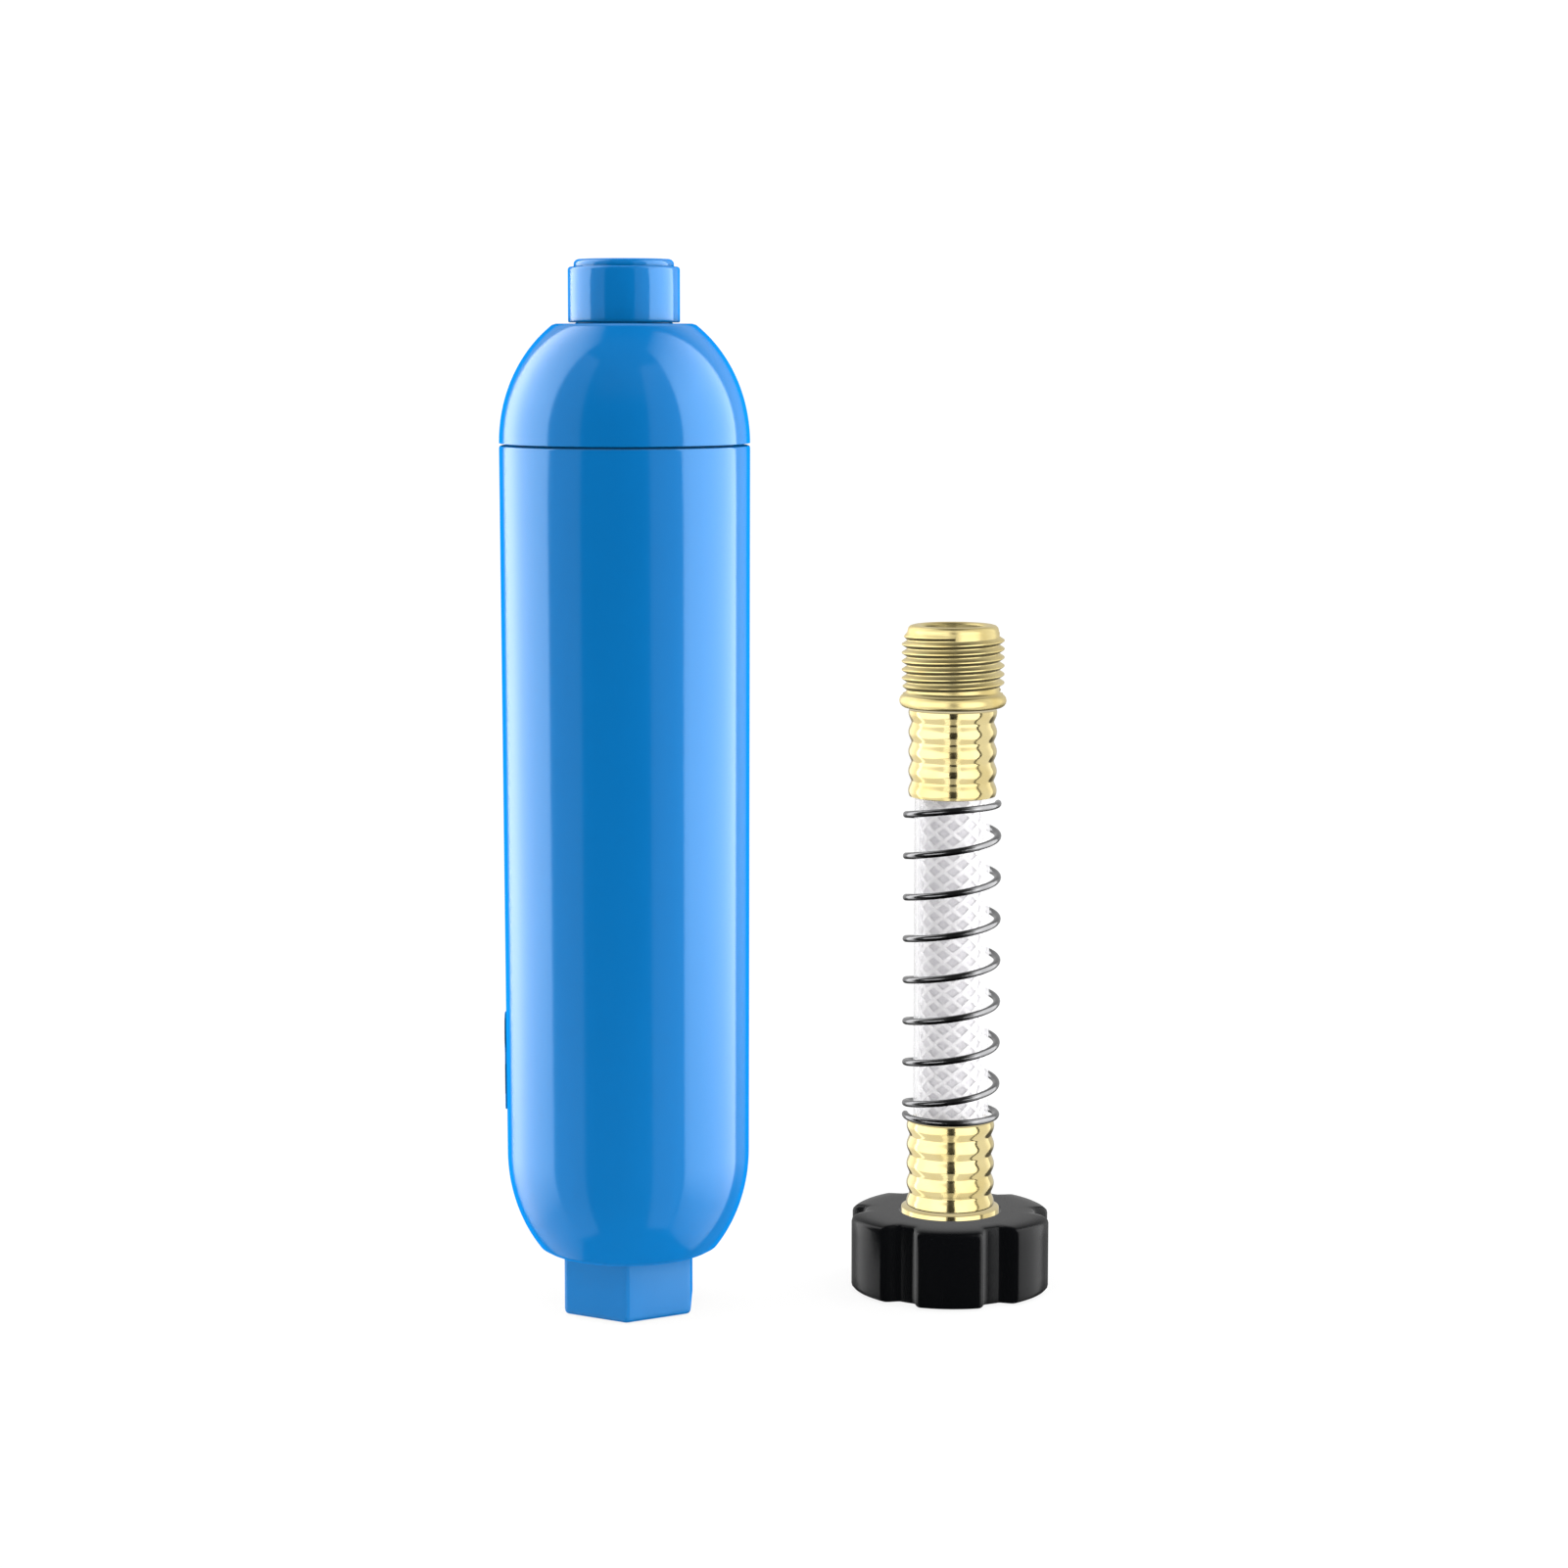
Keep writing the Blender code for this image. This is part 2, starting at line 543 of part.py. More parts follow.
def build():
    clear_scene()
    home = new_collection("inline_water_filter_kit")
    tools = new_collection("cutters")
    finishes = {
        "blue": material("blue_gloss_plastic", (0.010, 0.190, 0.560), 0.18),
        "brass": material("pale_polished_brass", (0.86, 0.66, 0.28), 0.16, metallic=1.0),
        "black": material("black_grip_plastic", (0.008, 0.009, 0.011), 0.45),
        "steel": material("bright_spring_steel", (0.62, 0.62, 0.63), 0.22, metallic=1.0),
        "rubber": material("black_rubber", (0.015, 0.015, 0.015), 0.7),
        "pvc": material("clear_flexible_plastic", (0.86, 0.86, 0.90), 0.2, alpha=0.35),
        "braid": material("white_polyester_braid", (0.80, 0.80, 0.83), 0.6),
        "felt": material("white_filter_felt", (0.78, 0.77, 0.72), 0.95),
        "plate": material("natural_plastic_plate", (0.75, 0.76, 0.74), 0.5),
        "kdf": material("copper_zinc_granules", (0.55, 0.34, 0.12), 0.5, metallic=0.8),
        "carbon": material("granular_carbon", (0.02, 0.02, 0.02), 0.9),
    }
    filter_axis, hose_axis = kit_axes(home)
    pieces = cartridge(home, tools, filter_axis, finishes)
    pieces.append(outlet_dust_cap(home, filter_axis, finishes["blue"]))
    pieces += hose_protector(home, tools, hose_axis, finishes)
    shade(pieces)


build()
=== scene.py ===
"""Looks of the inline water filter and its hose protector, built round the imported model."""
import json
import math

import bmesh
import bpy
from mathutils import Matrix, Vector

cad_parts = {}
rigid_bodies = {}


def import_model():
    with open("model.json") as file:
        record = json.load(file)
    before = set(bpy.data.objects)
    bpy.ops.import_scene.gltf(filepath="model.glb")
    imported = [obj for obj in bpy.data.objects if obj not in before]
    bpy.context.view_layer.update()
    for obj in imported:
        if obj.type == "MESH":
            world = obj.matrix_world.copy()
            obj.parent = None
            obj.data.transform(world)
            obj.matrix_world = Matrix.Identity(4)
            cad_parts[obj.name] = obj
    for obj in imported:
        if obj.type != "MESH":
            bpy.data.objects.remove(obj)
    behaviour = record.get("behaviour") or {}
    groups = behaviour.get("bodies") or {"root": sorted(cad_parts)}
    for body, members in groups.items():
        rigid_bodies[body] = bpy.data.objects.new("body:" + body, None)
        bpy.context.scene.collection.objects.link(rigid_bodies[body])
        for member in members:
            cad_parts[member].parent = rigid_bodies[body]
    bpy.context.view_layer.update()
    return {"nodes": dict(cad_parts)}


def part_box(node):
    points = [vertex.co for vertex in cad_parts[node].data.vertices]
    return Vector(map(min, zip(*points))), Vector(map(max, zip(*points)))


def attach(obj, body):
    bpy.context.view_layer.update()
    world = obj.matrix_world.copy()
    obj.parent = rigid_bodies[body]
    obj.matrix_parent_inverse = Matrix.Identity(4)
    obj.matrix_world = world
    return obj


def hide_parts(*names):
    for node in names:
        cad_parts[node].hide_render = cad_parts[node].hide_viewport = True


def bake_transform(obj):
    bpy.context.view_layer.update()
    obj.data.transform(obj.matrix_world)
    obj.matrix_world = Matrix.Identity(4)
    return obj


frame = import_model()
bpy.context.scene.view_settings.view_transform = "Standard"


# ---- Camera -------------------------------------------------------------------------------------
# One long lens, level with the cartridge's shoulders and looking slightly down.

cap_low, cap_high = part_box("housing_cap")
filter_x = (cap_low.x + cap_high.x) / 2
filter_y = (cap_low.y + cap_high.y) / 2
nut_low, nut_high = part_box("nut_thread_insert")
hose_x = (nut_low.x + nut_high.x) / 2
hose_y = (nut_low.y + nut_high.y) / 2

eye = bpy.data.objects.new("camera", bpy.data.cameras.new("camera"))
eye.data.lens = 83.6
eye.data.sensor_width = 36.0
eye.data.clip_start = 0.01
eye.location = (filter_x + 0.0403, filter_y - 0.925, 0.252)
eye.rotation_euler = (math.radians(90 - 7.1), 0.0, 0.0)
bpy.context.scene.collection.objects.link(eye)
bpy.context.scene.camera = eye


# ---- Studio -------------------------------------------------------------------------------------
# White room with a small pale floor. Tall softboxes stand on both sides with dimmer cards beside
# them, two lights stand behind, and one hangs overhead in front. Each finish has cards of its own.

seen_white = 1.05


def set_inputs(tree, node, **values):
    """Give named inputs a plain value or another node's output. Underscores stand for spaces."""
    for name, value in values.items():
        socket = node.inputs[name.replace("_", " ")]
        if isinstance(value, bpy.types.NodeSocket):
            tree.links.new(value, socket)
        else:
            socket.default_value = value


def add_node(tree, kind, settings=None, **values):
    made = tree.nodes.new("ShaderNode" + kind)
    for setting, value in (settings or {}).items():
        setattr(made, setting, value)
    set_inputs(tree, made, **values)
    return made


def fade(tree, value, start, end, low=0.0, high=1.0, smooth=True):
    """Turn a value that runs from start to end into one from low to high, and hold it there."""
    made = add_node(tree, "MapRange", {"interpolation_type": "SMOOTHSTEP" if smooth else "LINEAR"},
                    Value=value, From_Min=start, From_Max=end, To_Min=low, To_Max=high)
    return made.outputs["Result"]


def calculate(tree, operation, *values):
    made = add_node(tree, "Math", {"operation": operation})
    for socket, value in zip(made.inputs, values):
        if isinstance(value, bpy.types.NodeSocket):
            tree.links.new(value, socket)
        else:
            socket.default_value = value
    return made.outputs[0]


def mix_shaders(tree, share, first, second):
    made = add_node(tree, "MixShader")
    for socket, value in zip(made.inputs, (share, first, second)):
        tree.links.new(value, socket)
    return made.outputs[0]


def new_material(name):
    made = bpy.data.materials.new(name)
    made.use_nodes = True
    return made, made.node_tree, made.node_tree.nodes["Principled BSDF"]


def world_light():
    """White to the eye. The pieces reflect a room that is pale behind them and dark elsewhere."""
    world = bpy.data.worlds.new("white_room")
    bpy.context.scene.world = world
    world.use_nodes = True
    tree = world.node_tree
    tree.nodes.clear()
    place = add_node(tree, "TexCoord")
    split = add_node(tree, "SeparateXYZ", Vector=place.outputs["Generated"])
    behind = fade(tree, split.outputs["Y"], 0.2, 0.8, 0.04, 0.80)
    above = fade(tree, split.outputs["Z"], -0.40, -0.10, 0.15, 1.0)
    around = add_node(tree, "Background", Strength=calculate(tree, "MULTIPLY", behind, above))
    seen = add_node(tree, "Background", Color=(1.0, 1.0, 1.0, 1.0), Strength=seen_white)
    ray = add_node(tree, "LightPath")
    mix = mix_shaders(tree, ray.outputs["Is Camera Ray"], around.outputs[0], seen.outputs[0])
    add_node(tree, "OutputWorld", Surface=mix)


def softbox(name, turn_deg, distance, width, levels, lights, shaded_by, mirrored=True):
    """Upright card of light; levels are (height, radiance) pairs that it fades between.

    Turn is measured from the front, left turns being negative. Each card lights one collection
    of pieces, and only another one shades it.
    """
    low, high = levels[0][0], levels[-1][0]
    peak = max(radiance for _, radiance in levels)
    light = bpy.data.lights.new(name, "AREA")
    light.shape = "RECTANGLE"
    light.size = width
    light.size_y = high - low
    light.energy = peak * math.pi * width * (high - low)
    light.use_nodes = True
    tree = light.node_tree
    across = add_node(tree, "NewGeometry")
    split = add_node(tree, "SeparateXYZ", Vector=across.outputs["Parametric"])
    shade = add_node(tree, "ValToRGB", Fac=split.outputs["Y"])
    stops = shade.color_ramp.elements
    for height, _ in levels[1:-1]:
        stops.new((height - low) / (high - low))
    for stop, (_, radiance) in zip(stops, levels):
        stop.color = (radiance / peak, radiance / peak, radiance / peak, 1.0)
    set_inputs(tree, tree.nodes["Emission"], Color=shade.outputs["Color"])
    lamp = bpy.data.objects.new(name, light)
    turn = math.radians(turn_deg)
    aside = Vector((math.sin(turn), -math.cos(turn), 0.0))
    lamp.location = Vector((0.0, 0.0, (low + high) / 2)) + aside * distance
    lamp.rotation_euler = aside.to_track_quat("Z", "Y").to_euler()
    lamp.visible_camera = False
    lamp.visible_glossy = mirrored
    bpy.context.scene.collection.objects.link(lamp)
    lamp.light_linking.receiver_collection = lights
    lamp.light_linking.blocker_collection = shaded_by


def overhead(radiance, size, place):
    light = bpy.data.lights.new("overhead", "AREA")
    light.shape = "SQUARE"
    light.size = size
    light.energy = radiance * math.pi * size * size
    lamp = bpy.data.objects.new("overhead", light)
    lamp.location = place
    lamp.rotation_euler = Vector(place).to_track_quat("Z", "Y").to_euler()
    lamp.visible_camera = False
    lamp.visible_glossy = False
    bpy.context.scene.collection.objects.link(lamp)


def floor():
    """A pale sheet that fades to plain white away from the pieces. From below it isn't seen."""
    mesh = bpy.data.meshes.new("floor")
    sheet = bmesh.new()
    bmesh.ops.create_grid(sheet, x_segments=1, y_segments=1, size=0.5)
    sheet.to_mesh(mesh)
    sheet.free()
    plane = bpy.data.objects.new("floor", mesh)
    plane.location.z = -0.0002
    plane.visible_glossy = False
    plane.visible_shadow = False
    bpy.context.scene.collection.objects.link(plane)
    finish, tree, shader = new_material("pale_floor")
    set_inputs(tree, shader, Base_Color=(0.86, 0.86, 0.86, 1.0), Roughness=0.9,
               Specular_IOR_Level=0.0)
    place = add_node(tree, "TexCoord")
    span = add_node(tree, "VectorMath", {"operation": "LENGTH"}, Vector=place.outputs["Object"])
    away = fade(tree, span.outputs["Value"], 0.05, 0.30, 0.80, 1.0)
    ray = add_node(tree, "LightPath")
    share = calculate(tree, "MULTIPLY", away, ray.outputs["Is Camera Ray"])
    white = add_node(tree, "Emission", Strength=seen_white)
    sheet_look = mix_shaders(tree, share, shader.outputs[0], white.outputs[0])
    side = add_node(tree, "NewGeometry")
    clear = add_node(tree, "BsdfTransparent")
    look = mix_shaders(tree, side.outputs["Backfacing"], sheet_look, clear.outputs[0])
    set_inputs(tree, tree.nodes["Material Output"], Surface=look)
    mesh.materials.append(finish)
    lit["floor"].objects.link(plane)


lit = {}
for group_name in ("shell", "floor", "brass", "steel", "plastic"):
    lit[group_name] = bpy.data.collections.new("lit_" + group_name)
    bpy.context.scene.collection.children.link(lit[group_name])
shell_lit, brass_lit = lit["shell"], lit["brass"]
world_light()
left_levels = [(-0.9, 0.2), (-0.35, 0.6), (0.02, 2.8), (0.45, 2.8), (0.9, 2.0), (1.5, 1.0),
               (2.2, 0.2)]
right_levels = [(-0.9, 0.3), (-0.35, 0.9), (0.02, 2.8), (0.6, 2.8), (1.0, 2.0), (1.5, 1.0),
                (2.2, 0.2)]
card_levels = [(-0.9, 0.4), (1.4, 0.4)]
for group_name in ("shell", "floor", "plastic", "steel"):
    lights = lit[group_name]
    softbox("left_softbox_" + group_name, -104.5, 0.55, 0.72, left_levels, lights, shell_lit)
    softbox("right_softbox_" + group_name, 89.5, 0.60, 0.86, right_levels, lights, shell_lit)
for group_name in ("shell", "floor"):
    softbox("left_card_" + group_name, -56.0, 0.70, 0.40, card_levels, lit[group_name], shell_lit)
    softbox("right_card_" + group_name, 37.0, 0.75, 0.40, card_levels, lit[group_name], shell_lit)
back_levels = [(-0.3, 2.4), (0.6, 2.4)]
softbox("left_back_light", -150.0, 0.60, 0.40, back_levels, shell_lit, shell_lit, False)
softbox("right_back_light", 150.0, 0.60, 0.40, back_levels, shell_lit, shell_lit, False)
brass_levels = [(-1.6, 0.8), (-0.36, 0.8), (-0.24, 1.5), (0.46, 1.5), (0.6, 0.8), (1.8, 0.8)]
softbox("left_brass_card", -60.0, 0.60, 1.50, brass_levels, brass_lit, brass_lit)
softbox("right_brass_card", 44.0, 0.60, 0.69, brass_levels, brass_lit, brass_lit)
edge_levels = [(-1.6, 0.8), (1.8, 0.8)]
softbox("left_brass_edge", -128.0, 0.60, 0.60, edge_levels, brass_lit, brass_lit)
softbox("right_brass_edge", 103.0, 0.60, 0.50, edge_levels, brass_lit, brass_lit)
softbox("high_brass_card", 0.0, 0.62, 0.60, [(0.50, 0.4), (1.8, 0.4)], brass_lit, brass_lit)
softbox("low_brass_card", 0.0, 0.62, 0.60, [(-1.6, 0.4), (-0.32, 0.4)], brass_lit, brass_lit)
hose_levels = [(-0.9, 0.85), (1.4, 0.85)]
softbox("left_hose_card", -60.0, 0.60, 1.50, hose_levels, lit["plastic"], brass_lit, False)
softbox("right_hose_card", 44.0, 0.60, 0.69, hose_levels, lit["plastic"], brass_lit, False)
steel_levels = [(0.02, 2.4), (0.24, 2.4)]
softbox("left_steel_card", -46.0, 0.60, 0.60, steel_levels, lit["steel"], lit["steel"])
softbox("right_steel_card", 50.0, 0.60, 0.40, steel_levels, lit["steel"], lit["steel"])
overhead(2.2, 1.0, (0.0, -0.5, 1.1))
floor()


# ---- Housing body -------------------------------------------------------------------------------
# Long shell of blue plastic, injection moulded in one shot with its inlet hexagon, the female hose
# thread inside that, and a small raised flow arrow. It is welded to the cap at the seam.

def turn_outline(outline, at, steps):
    """Spin a half outline (r, z) all the way round an upright axis. Its ends may be on the axis."""
    shape = bmesh.new()
    line = [shape.verts.new((at[0] + r, at[1], z)) for r, z in outline]
    edges = [shape.edges.new(pair) for pair in zip(line, line[1:])]
    if outline[0][0] > 0.0:
        edges.append(shape.edges.new((line[-1], line[0])))
    bmesh.ops.spin(shape, geom=line + edges, cent=(at[0], at[1], 0.0), axis=(0.0, 0.0, 1.0),
                   dvec=(0.0, 0.0, 0.0), angle=math.tau, steps=steps, use_merge=True)
    bmesh.ops.remove_doubles(shape, verts=shape.verts, dist=0.000002)
    bmesh.ops.recalc_face_normals(shape, faces=shape.faces)
    return shape


def take_in(shape, extra):
    """Move a separate closed solid into a shape as it is."""
    bmesh.ops.recalc_face_normals(extra, faces=extra.faces)
    spare = bpy.data.meshes.new("extra")
    extra.to_mesh(spare)
    extra.free()
    shape.from_mesh(spare)
    bpy.data.meshes.remove(spare)


def helix(section, at, turns, steps, rise, way=1):
    """Spin a closed section (r, z) up an upright axis, rising at each step, and cap its ends."""
    shape = bmesh.new()
    loop = [shape.verts.new((at[0] + r, at[1], z)) for r, z in section]
    edges = [shape.edges.new(pair) for pair in zip(loop, loop[1:] + loop[:1])]
    bmesh.ops.spin(shape, geom=loop + edges, cent=(at[0], at[1], 0.0), axis=(0.0, 0.0, way),
                   dvec=(0.0, 0.0, rise), angle=math.tau * turns, steps=steps)
    ends = [edge for edge in shape.edges if edge.is_boundary]
    bmesh.ops.holes_fill(shape, edges=ends, sides=0)
    return shape


def polar(vert, at):
    """Distance and bearing of a vertex from an upright axis."""
    across, back = vert.co.x - at[0], vert.co.y - at[1]
    return math.hypot(across, back), math.atan2(back, across)


def set_distance(vert, at, radius):
    scale = radius / polar(vert, at)[0]
    vert.co.x = at[0] + (vert.co.x - at[0]) * scale
    vert.co.y = at[1] + (vert.co.y - at[1]) * scale


def ellipse(radius, rise, center_z, start_deg, end_deg, steps):
    turns = [math.radians(start_deg + (end_deg - start_deg) * i / steps) for i in range(steps + 1)]
    return [(radius * math.cos(a), center_z + rise * math.sin(a)) for a in turns]


def add_thread(shape, at, root_r, crest_r, low, turns, per_turn=96):
    """Right-handed hose thread on a wall, with a ridge that runs out into the wall at both ends."""
    wall_in = 0.00012 if crest_r > root_r else -0.00012
    section = [(root_r - wall_in, -0.46), (root_r + wall_in, -0.42), (crest_r - wall_in, -0.11),
               (crest_r, -0.06), (crest_r, 0.06), (crest_r - wall_in, 0.11),
               (root_r + wall_in, 0.42), (root_r - wall_in, 0.46)]
    ridge = helix([(r, low + part * hose_pitch) for r, part in section], at, turns,
                  int(turns * per_turn), hose_pitch / per_turn)
    top, sunk_r = low + turns * hose_pitch, root_r - wall_in
    for vert in ridge.verts:
        reach = min(max(min(vert.co.z - low, top - vert.co.z) / hose_pitch + 0.3, 0.0), 1.0)
        set_distance(vert, at, sunk_r + (polar(vert, at)[0] - sunk_r) * reach)
    take_in(shape, ridge)


def piece(name, shape, finish, body, replaced, crisp_deg=38):
    """Store a finished shape as a visible piece that rides on a body in place of CAD nodes."""
    mesh = bpy.data.meshes.new(name)
    shape.to_mesh(mesh)
    shape.free()
    mesh.shade_smooth()
    mesh.set_sharp_from_angle(angle=math.radians(crisp_deg))
    mesh.materials.append(finish)
    made = bpy.data.objects.new(name, mesh)
    bpy.context.scene.collection.objects.link(made)
    if body:
        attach(made, body)
    if replaced:
        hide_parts(*replaced)
    return made


def new_group(name, inputs, outputs):
    """Node group with inputs (name, default value) and outputs (name, kind of socket)."""
    group = bpy.data.node_groups.new(name, "ShaderNodeTree")
    for socket_name, value in inputs:
        kind = "NodeSocketColor" if isinstance(value, tuple) else "NodeSocketFloat"
        socket = group.interface.new_socket(name=socket_name, in_out="INPUT", socket_type=kind)
        socket.default_value = value
    for socket_name, kind in outputs:
        group.interface.new_socket(name=socket_name, in_out="OUTPUT", socket_type=kind)
    given = group.nodes.new("NodeGroupInput").outputs
    return group, given, group.nodes.new("NodeGroupOutput")


def noise(tree, where, scale, detail, distortion=0.0):
    made = add_node(tree, "TexNoise", Vector=where, Scale=scale, Detail=detail,
                    Distortion=distortion)
    return made.outputs["Fac"]


def blend_tones(tree, share, first, second):
    mix = add_node(tree, "Mix", {"data_type": "RGBA"}, Factor=share, A=first, B=second)
    return mix.outputs["Result"]


def mould_skin_group():
    """Skin of moulded plastic: slow waviness, fine grain, faint flow streaks and tiny scratches."""
    plain = (0.5, 0.5, 0.5, 1.0)
    group, given, out = new_group(
        "mould_skin",
        [("Colour", plain), ("Streak Colour", plain), ("Base Roughness", 0.2), ("Grain", 0.3)],
        [("Colour", "NodeSocketColor"), ("Roughness", "NodeSocketFloat"),
         ("Height", "NodeSocketFloat")])
    where = add_node(group, "TexCoord").outputs["Object"]
    flow = add_node(group, "Mapping", Vector=where, Scale=(70.0, 70.0, 9.0))
    streak = noise(group, flow.outputs[0], 1.0, 3.0)
    scored = add_node(group, "Mapping", Vector=where, Scale=(900.0, 900.0, 60.0),
                      Rotation=(0.3, 0.5, 0.2))
    scratch = fade(group, noise(group, scored.outputs[0], 1.0, 4.0), 0.66, 0.74, 0.0, 0.09, False)
    wave = noise(group, where, 60.0, 1.0)
    grain = noise(group, where, 2600.0, 2.0)
    set_inputs(group, out,
               Colour=blend_tones(group, streak, given["Colour"], given["Streak Colour"]),
               Roughness=calculate(group, "ADD", given["Base Roughness"], scratch),
               Height=calculate(group, "MULTIPLY_ADD", grain, given["Grain"], wave))
    return group


mould_skin = mould_skin_group()


def add_bump(tree, shader, height, strength, distance):
    bump = add_node(tree, "Bump", Strength=strength, Distance=distance, Height=height)
    set_inputs(tree, shader, Normal=bump.outputs[0])


def add_skin(tree, shader, colour, streak, roughness, grain, bump, depth):
    """Moulded skin in two tones (r, g, b). Gives the colour, so that a material can change it."""
    skin = add_node(tree, "Group", {"node_tree": mould_skin}, Colour=(*colour, 1.0),
                    Streak_Colour=(*streak, 1.0), Base_Roughness=roughness, Grain=grain)
    set_inputs(tree, shader, Base_Color=skin.outputs["Colour"],
               Roughness=skin.outputs["Roughness"])
    add_bump(tree, shader, skin.outputs["Height"], bump, depth)
    return skin.outputs["Colour"]


def blue_shell_plastic():
    """Glossy blue that is less of a mirror at the rim, with painted shade: its colour turns deep
    blue and its gloss dims down in the seams and recesses.
    """
    made, tree, shader = new_material("blue_gloss_plastic")
    colour = add_skin(tree, shader, (0.0020, 0.180, 0.530), (0.0030, 0.200, 0.570), 0.13, 0.03,
                      0.12, 0.0004)
    facing = add_node(tree, "LayerWeight", Blend=0.5)
    gloss = fade(tree, facing.outputs["Facing"], 0.50, 0.78, 0.9, 0.0)
    # Painted shade: ambient occlusion finds the seams and recesses, where shade falls.
    crevice_shade_ao = add_node(tree, "AmbientOcclusion", {"samples": 6}, Distance=0.0020)
    unshaded_share = fade(tree, crevice_shade_ao.outputs["AO"], 0.30, 0.85, smooth=False)
    shine = calculate(tree, "MULTIPLY", gloss, unshaded_share)
    # Painted shade: the colour blends to deep blue and the gloss dims where the occlusion is
    # strong.
    set_inputs(tree, shader,
               Base_Color=blend_tones(tree, unshaded_share, (0.0008, 0.060, 0.170, 1.0), colour),
               Specular_IOR_Level=shine, Specular_Tint=(0.30, 0.60, 1.0, 1.0),
               Coat_Weight=shine, Coat_IOR=1.34, Coat_Roughness=0.11,
               Sheen_Weight=0.45, Sheen_Roughness=0.3, Sheen_Tint=(0.01, 0.30, 1.0, 1.0))
    return made


blue_plastic = blue_shell_plastic()
body_low, body_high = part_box("housing_body")
seam_z = body_high.z
body_top_r = body_high.x - filter_x
body_low_r = body_top_r - 0.00055
low_dome_z, low_dome_rise = 0.0415, 0.0368
body_wall = 0.0028
hex_flat_r, hex_top_z = 0.01625, 0.0158
socket_r, socket_root_r, socket_top_z = 0.0124, 0.01365, 0.0118
inch, hose_threads_per_inch = 0.0254, 11.5
hose_pitch = inch / hose_threads_per_inch


def body_outline():
    """Outside from the seam down, foot, socket with its thread's root, then the inside going up."""
    foot_z, inner_foot_z, inner_r, inner_rise, port_r = 0.0168, 0.0184, 0.027, 0.034, 0.008
    low_edge = math.degrees(math.asin((low_dome_z - foot_z) / low_dome_rise))
    outer = [(body_top_r - 0.0006, seam_z), (body_top_r - 0.0002, seam_z - 0.00015),
             (body_top_r, seam_z - 0.0006)]
    outer += [(body_low_r + (body_top_r - body_low_r) * i / 8,
               low_dome_z + (seam_z - 0.001 - low_dome_z) * i / 8) for i in range(7, 0, -1)]
    outer += ellipse(body_low_r, low_dome_rise, low_dome_z, 0, -low_edge, 40)
    outer += [(0.0222, 0.0164), (0.0219, 0.0161), (0.0214, 0.01588), (0.0206, hex_top_z),
              (0.0196, hex_top_z)]
    hexagon = [(hex_flat_r + 0.0004, hex_top_z), (hex_flat_r + 0.00012, hex_top_z - 0.00015),
               (hex_flat_r, hex_top_z - 0.0005), (hex_flat_r, 0.0119),
               (hex_flat_r, 0.0075), (hex_flat_r, 0.0016), (hex_flat_r - 0.0001, 0.0009),
               (hex_flat_r - 0.0004, 0.0004), (hex_flat_r - 0.0009, 0.0001),
               (hex_flat_r - 0.0015, 0.0)]
    inner = [(0.0143, 0.0), (0.0139, 0.0002), (socket_root_r - 0.0003, 0.0007),
             (socket_root_r, 0.0012), (socket_root_r, 0.0088), (socket_r, 0.0094),
             (socket_r, socket_top_z), (port_r, socket_top_z), (port_r, inner_foot_z)]
    in_edge = math.degrees(math.asin((low_dome_z - inner_foot_z) / inner_rise))
    inner += ellipse(inner_r, inner_rise, low_dome_z, -in_edge, 0, 16)
    inner += [(body_low_r - body_wall + 0.0002, 0.0417), (body_top_r - body_wall, seam_z)]
    return outer + hexagon + inner


def shape_hexagon(shape, at, flat_r, low, high):
    """Push the round foot out to a hexagon with slightly rounded corners, one corner in front."""
    sharp, socket_edge_r = 140.0, 0.0145
    for vert in shape.verts:
        radius, turn = polar(vert, at)
        if low <= vert.co.z <= high and socket_edge_r < radius < flat_r + 0.0006:
            hold = sum(max(math.cos(turn - math.radians(60 * i)), 0.0) ** sharp for i in range(6))
            set_distance(vert, at, radius * hold ** (-1 / sharp))


def add_flow_arrow(shape, at):
    """Raised arrow on the left side with its head up, wrapped on the wall with softened edges."""
    shaft_low, neck, tip = 0.0523, 0.0680, 0.0777
    outline = [(-0.0012, shaft_low), (0.0012, shaft_low), (0.0012, neck), (0.0034, neck),
               (0.0, tip), (-0.0034, neck), (-0.0012, neck)]
    arrow = bmesh.new()
    corners = [arrow.verts.new((0.0, across, z)) for across, z in outline]
    face = arrow.faces.new(corners)
    face.normal_update()
    bmesh.ops.triangulate(arrow, faces=[face])
    bmesh.ops.subdivide_edges(arrow, edges=arrow.edges, cuts=3, use_grid_fill=True)
    raised = bmesh.ops.extrude_face_region(arrow, geom=arrow.faces[:], use_keep_orig=True)
    for part in raised["geom"]:
        if isinstance(part, bmesh.types.BMVert):
            part.co.x = 0.001
    top_rim = [edge for edge in arrow.edges
               if edge.calc_face_angle(0.0) > math.radians(60)
               and all(vert.co.x > 0.0005 for vert in edge.verts)]
    bmesh.ops.bevel(arrow, geom=top_rim, offset=0.00022, segments=3, profile=0.5,
                    affect="EDGES", material=-1)
    sunk, raise_by = 0.0006, 1.1
    taper = (body_top_r - body_low_r) / (seam_z - low_dome_z)
    for vert in arrow.verts:
        height = vert.co.z
        wall = body_low_r + taper * (height - low_dome_z)
        radius = wall - sunk + raise_by * vert.co.x
        turn = math.pi + vert.co.y / wall
        vert.co = (at[0] + radius * math.cos(turn), at[1] + radius * math.sin(turn), height)
    take_in(shape, arrow)


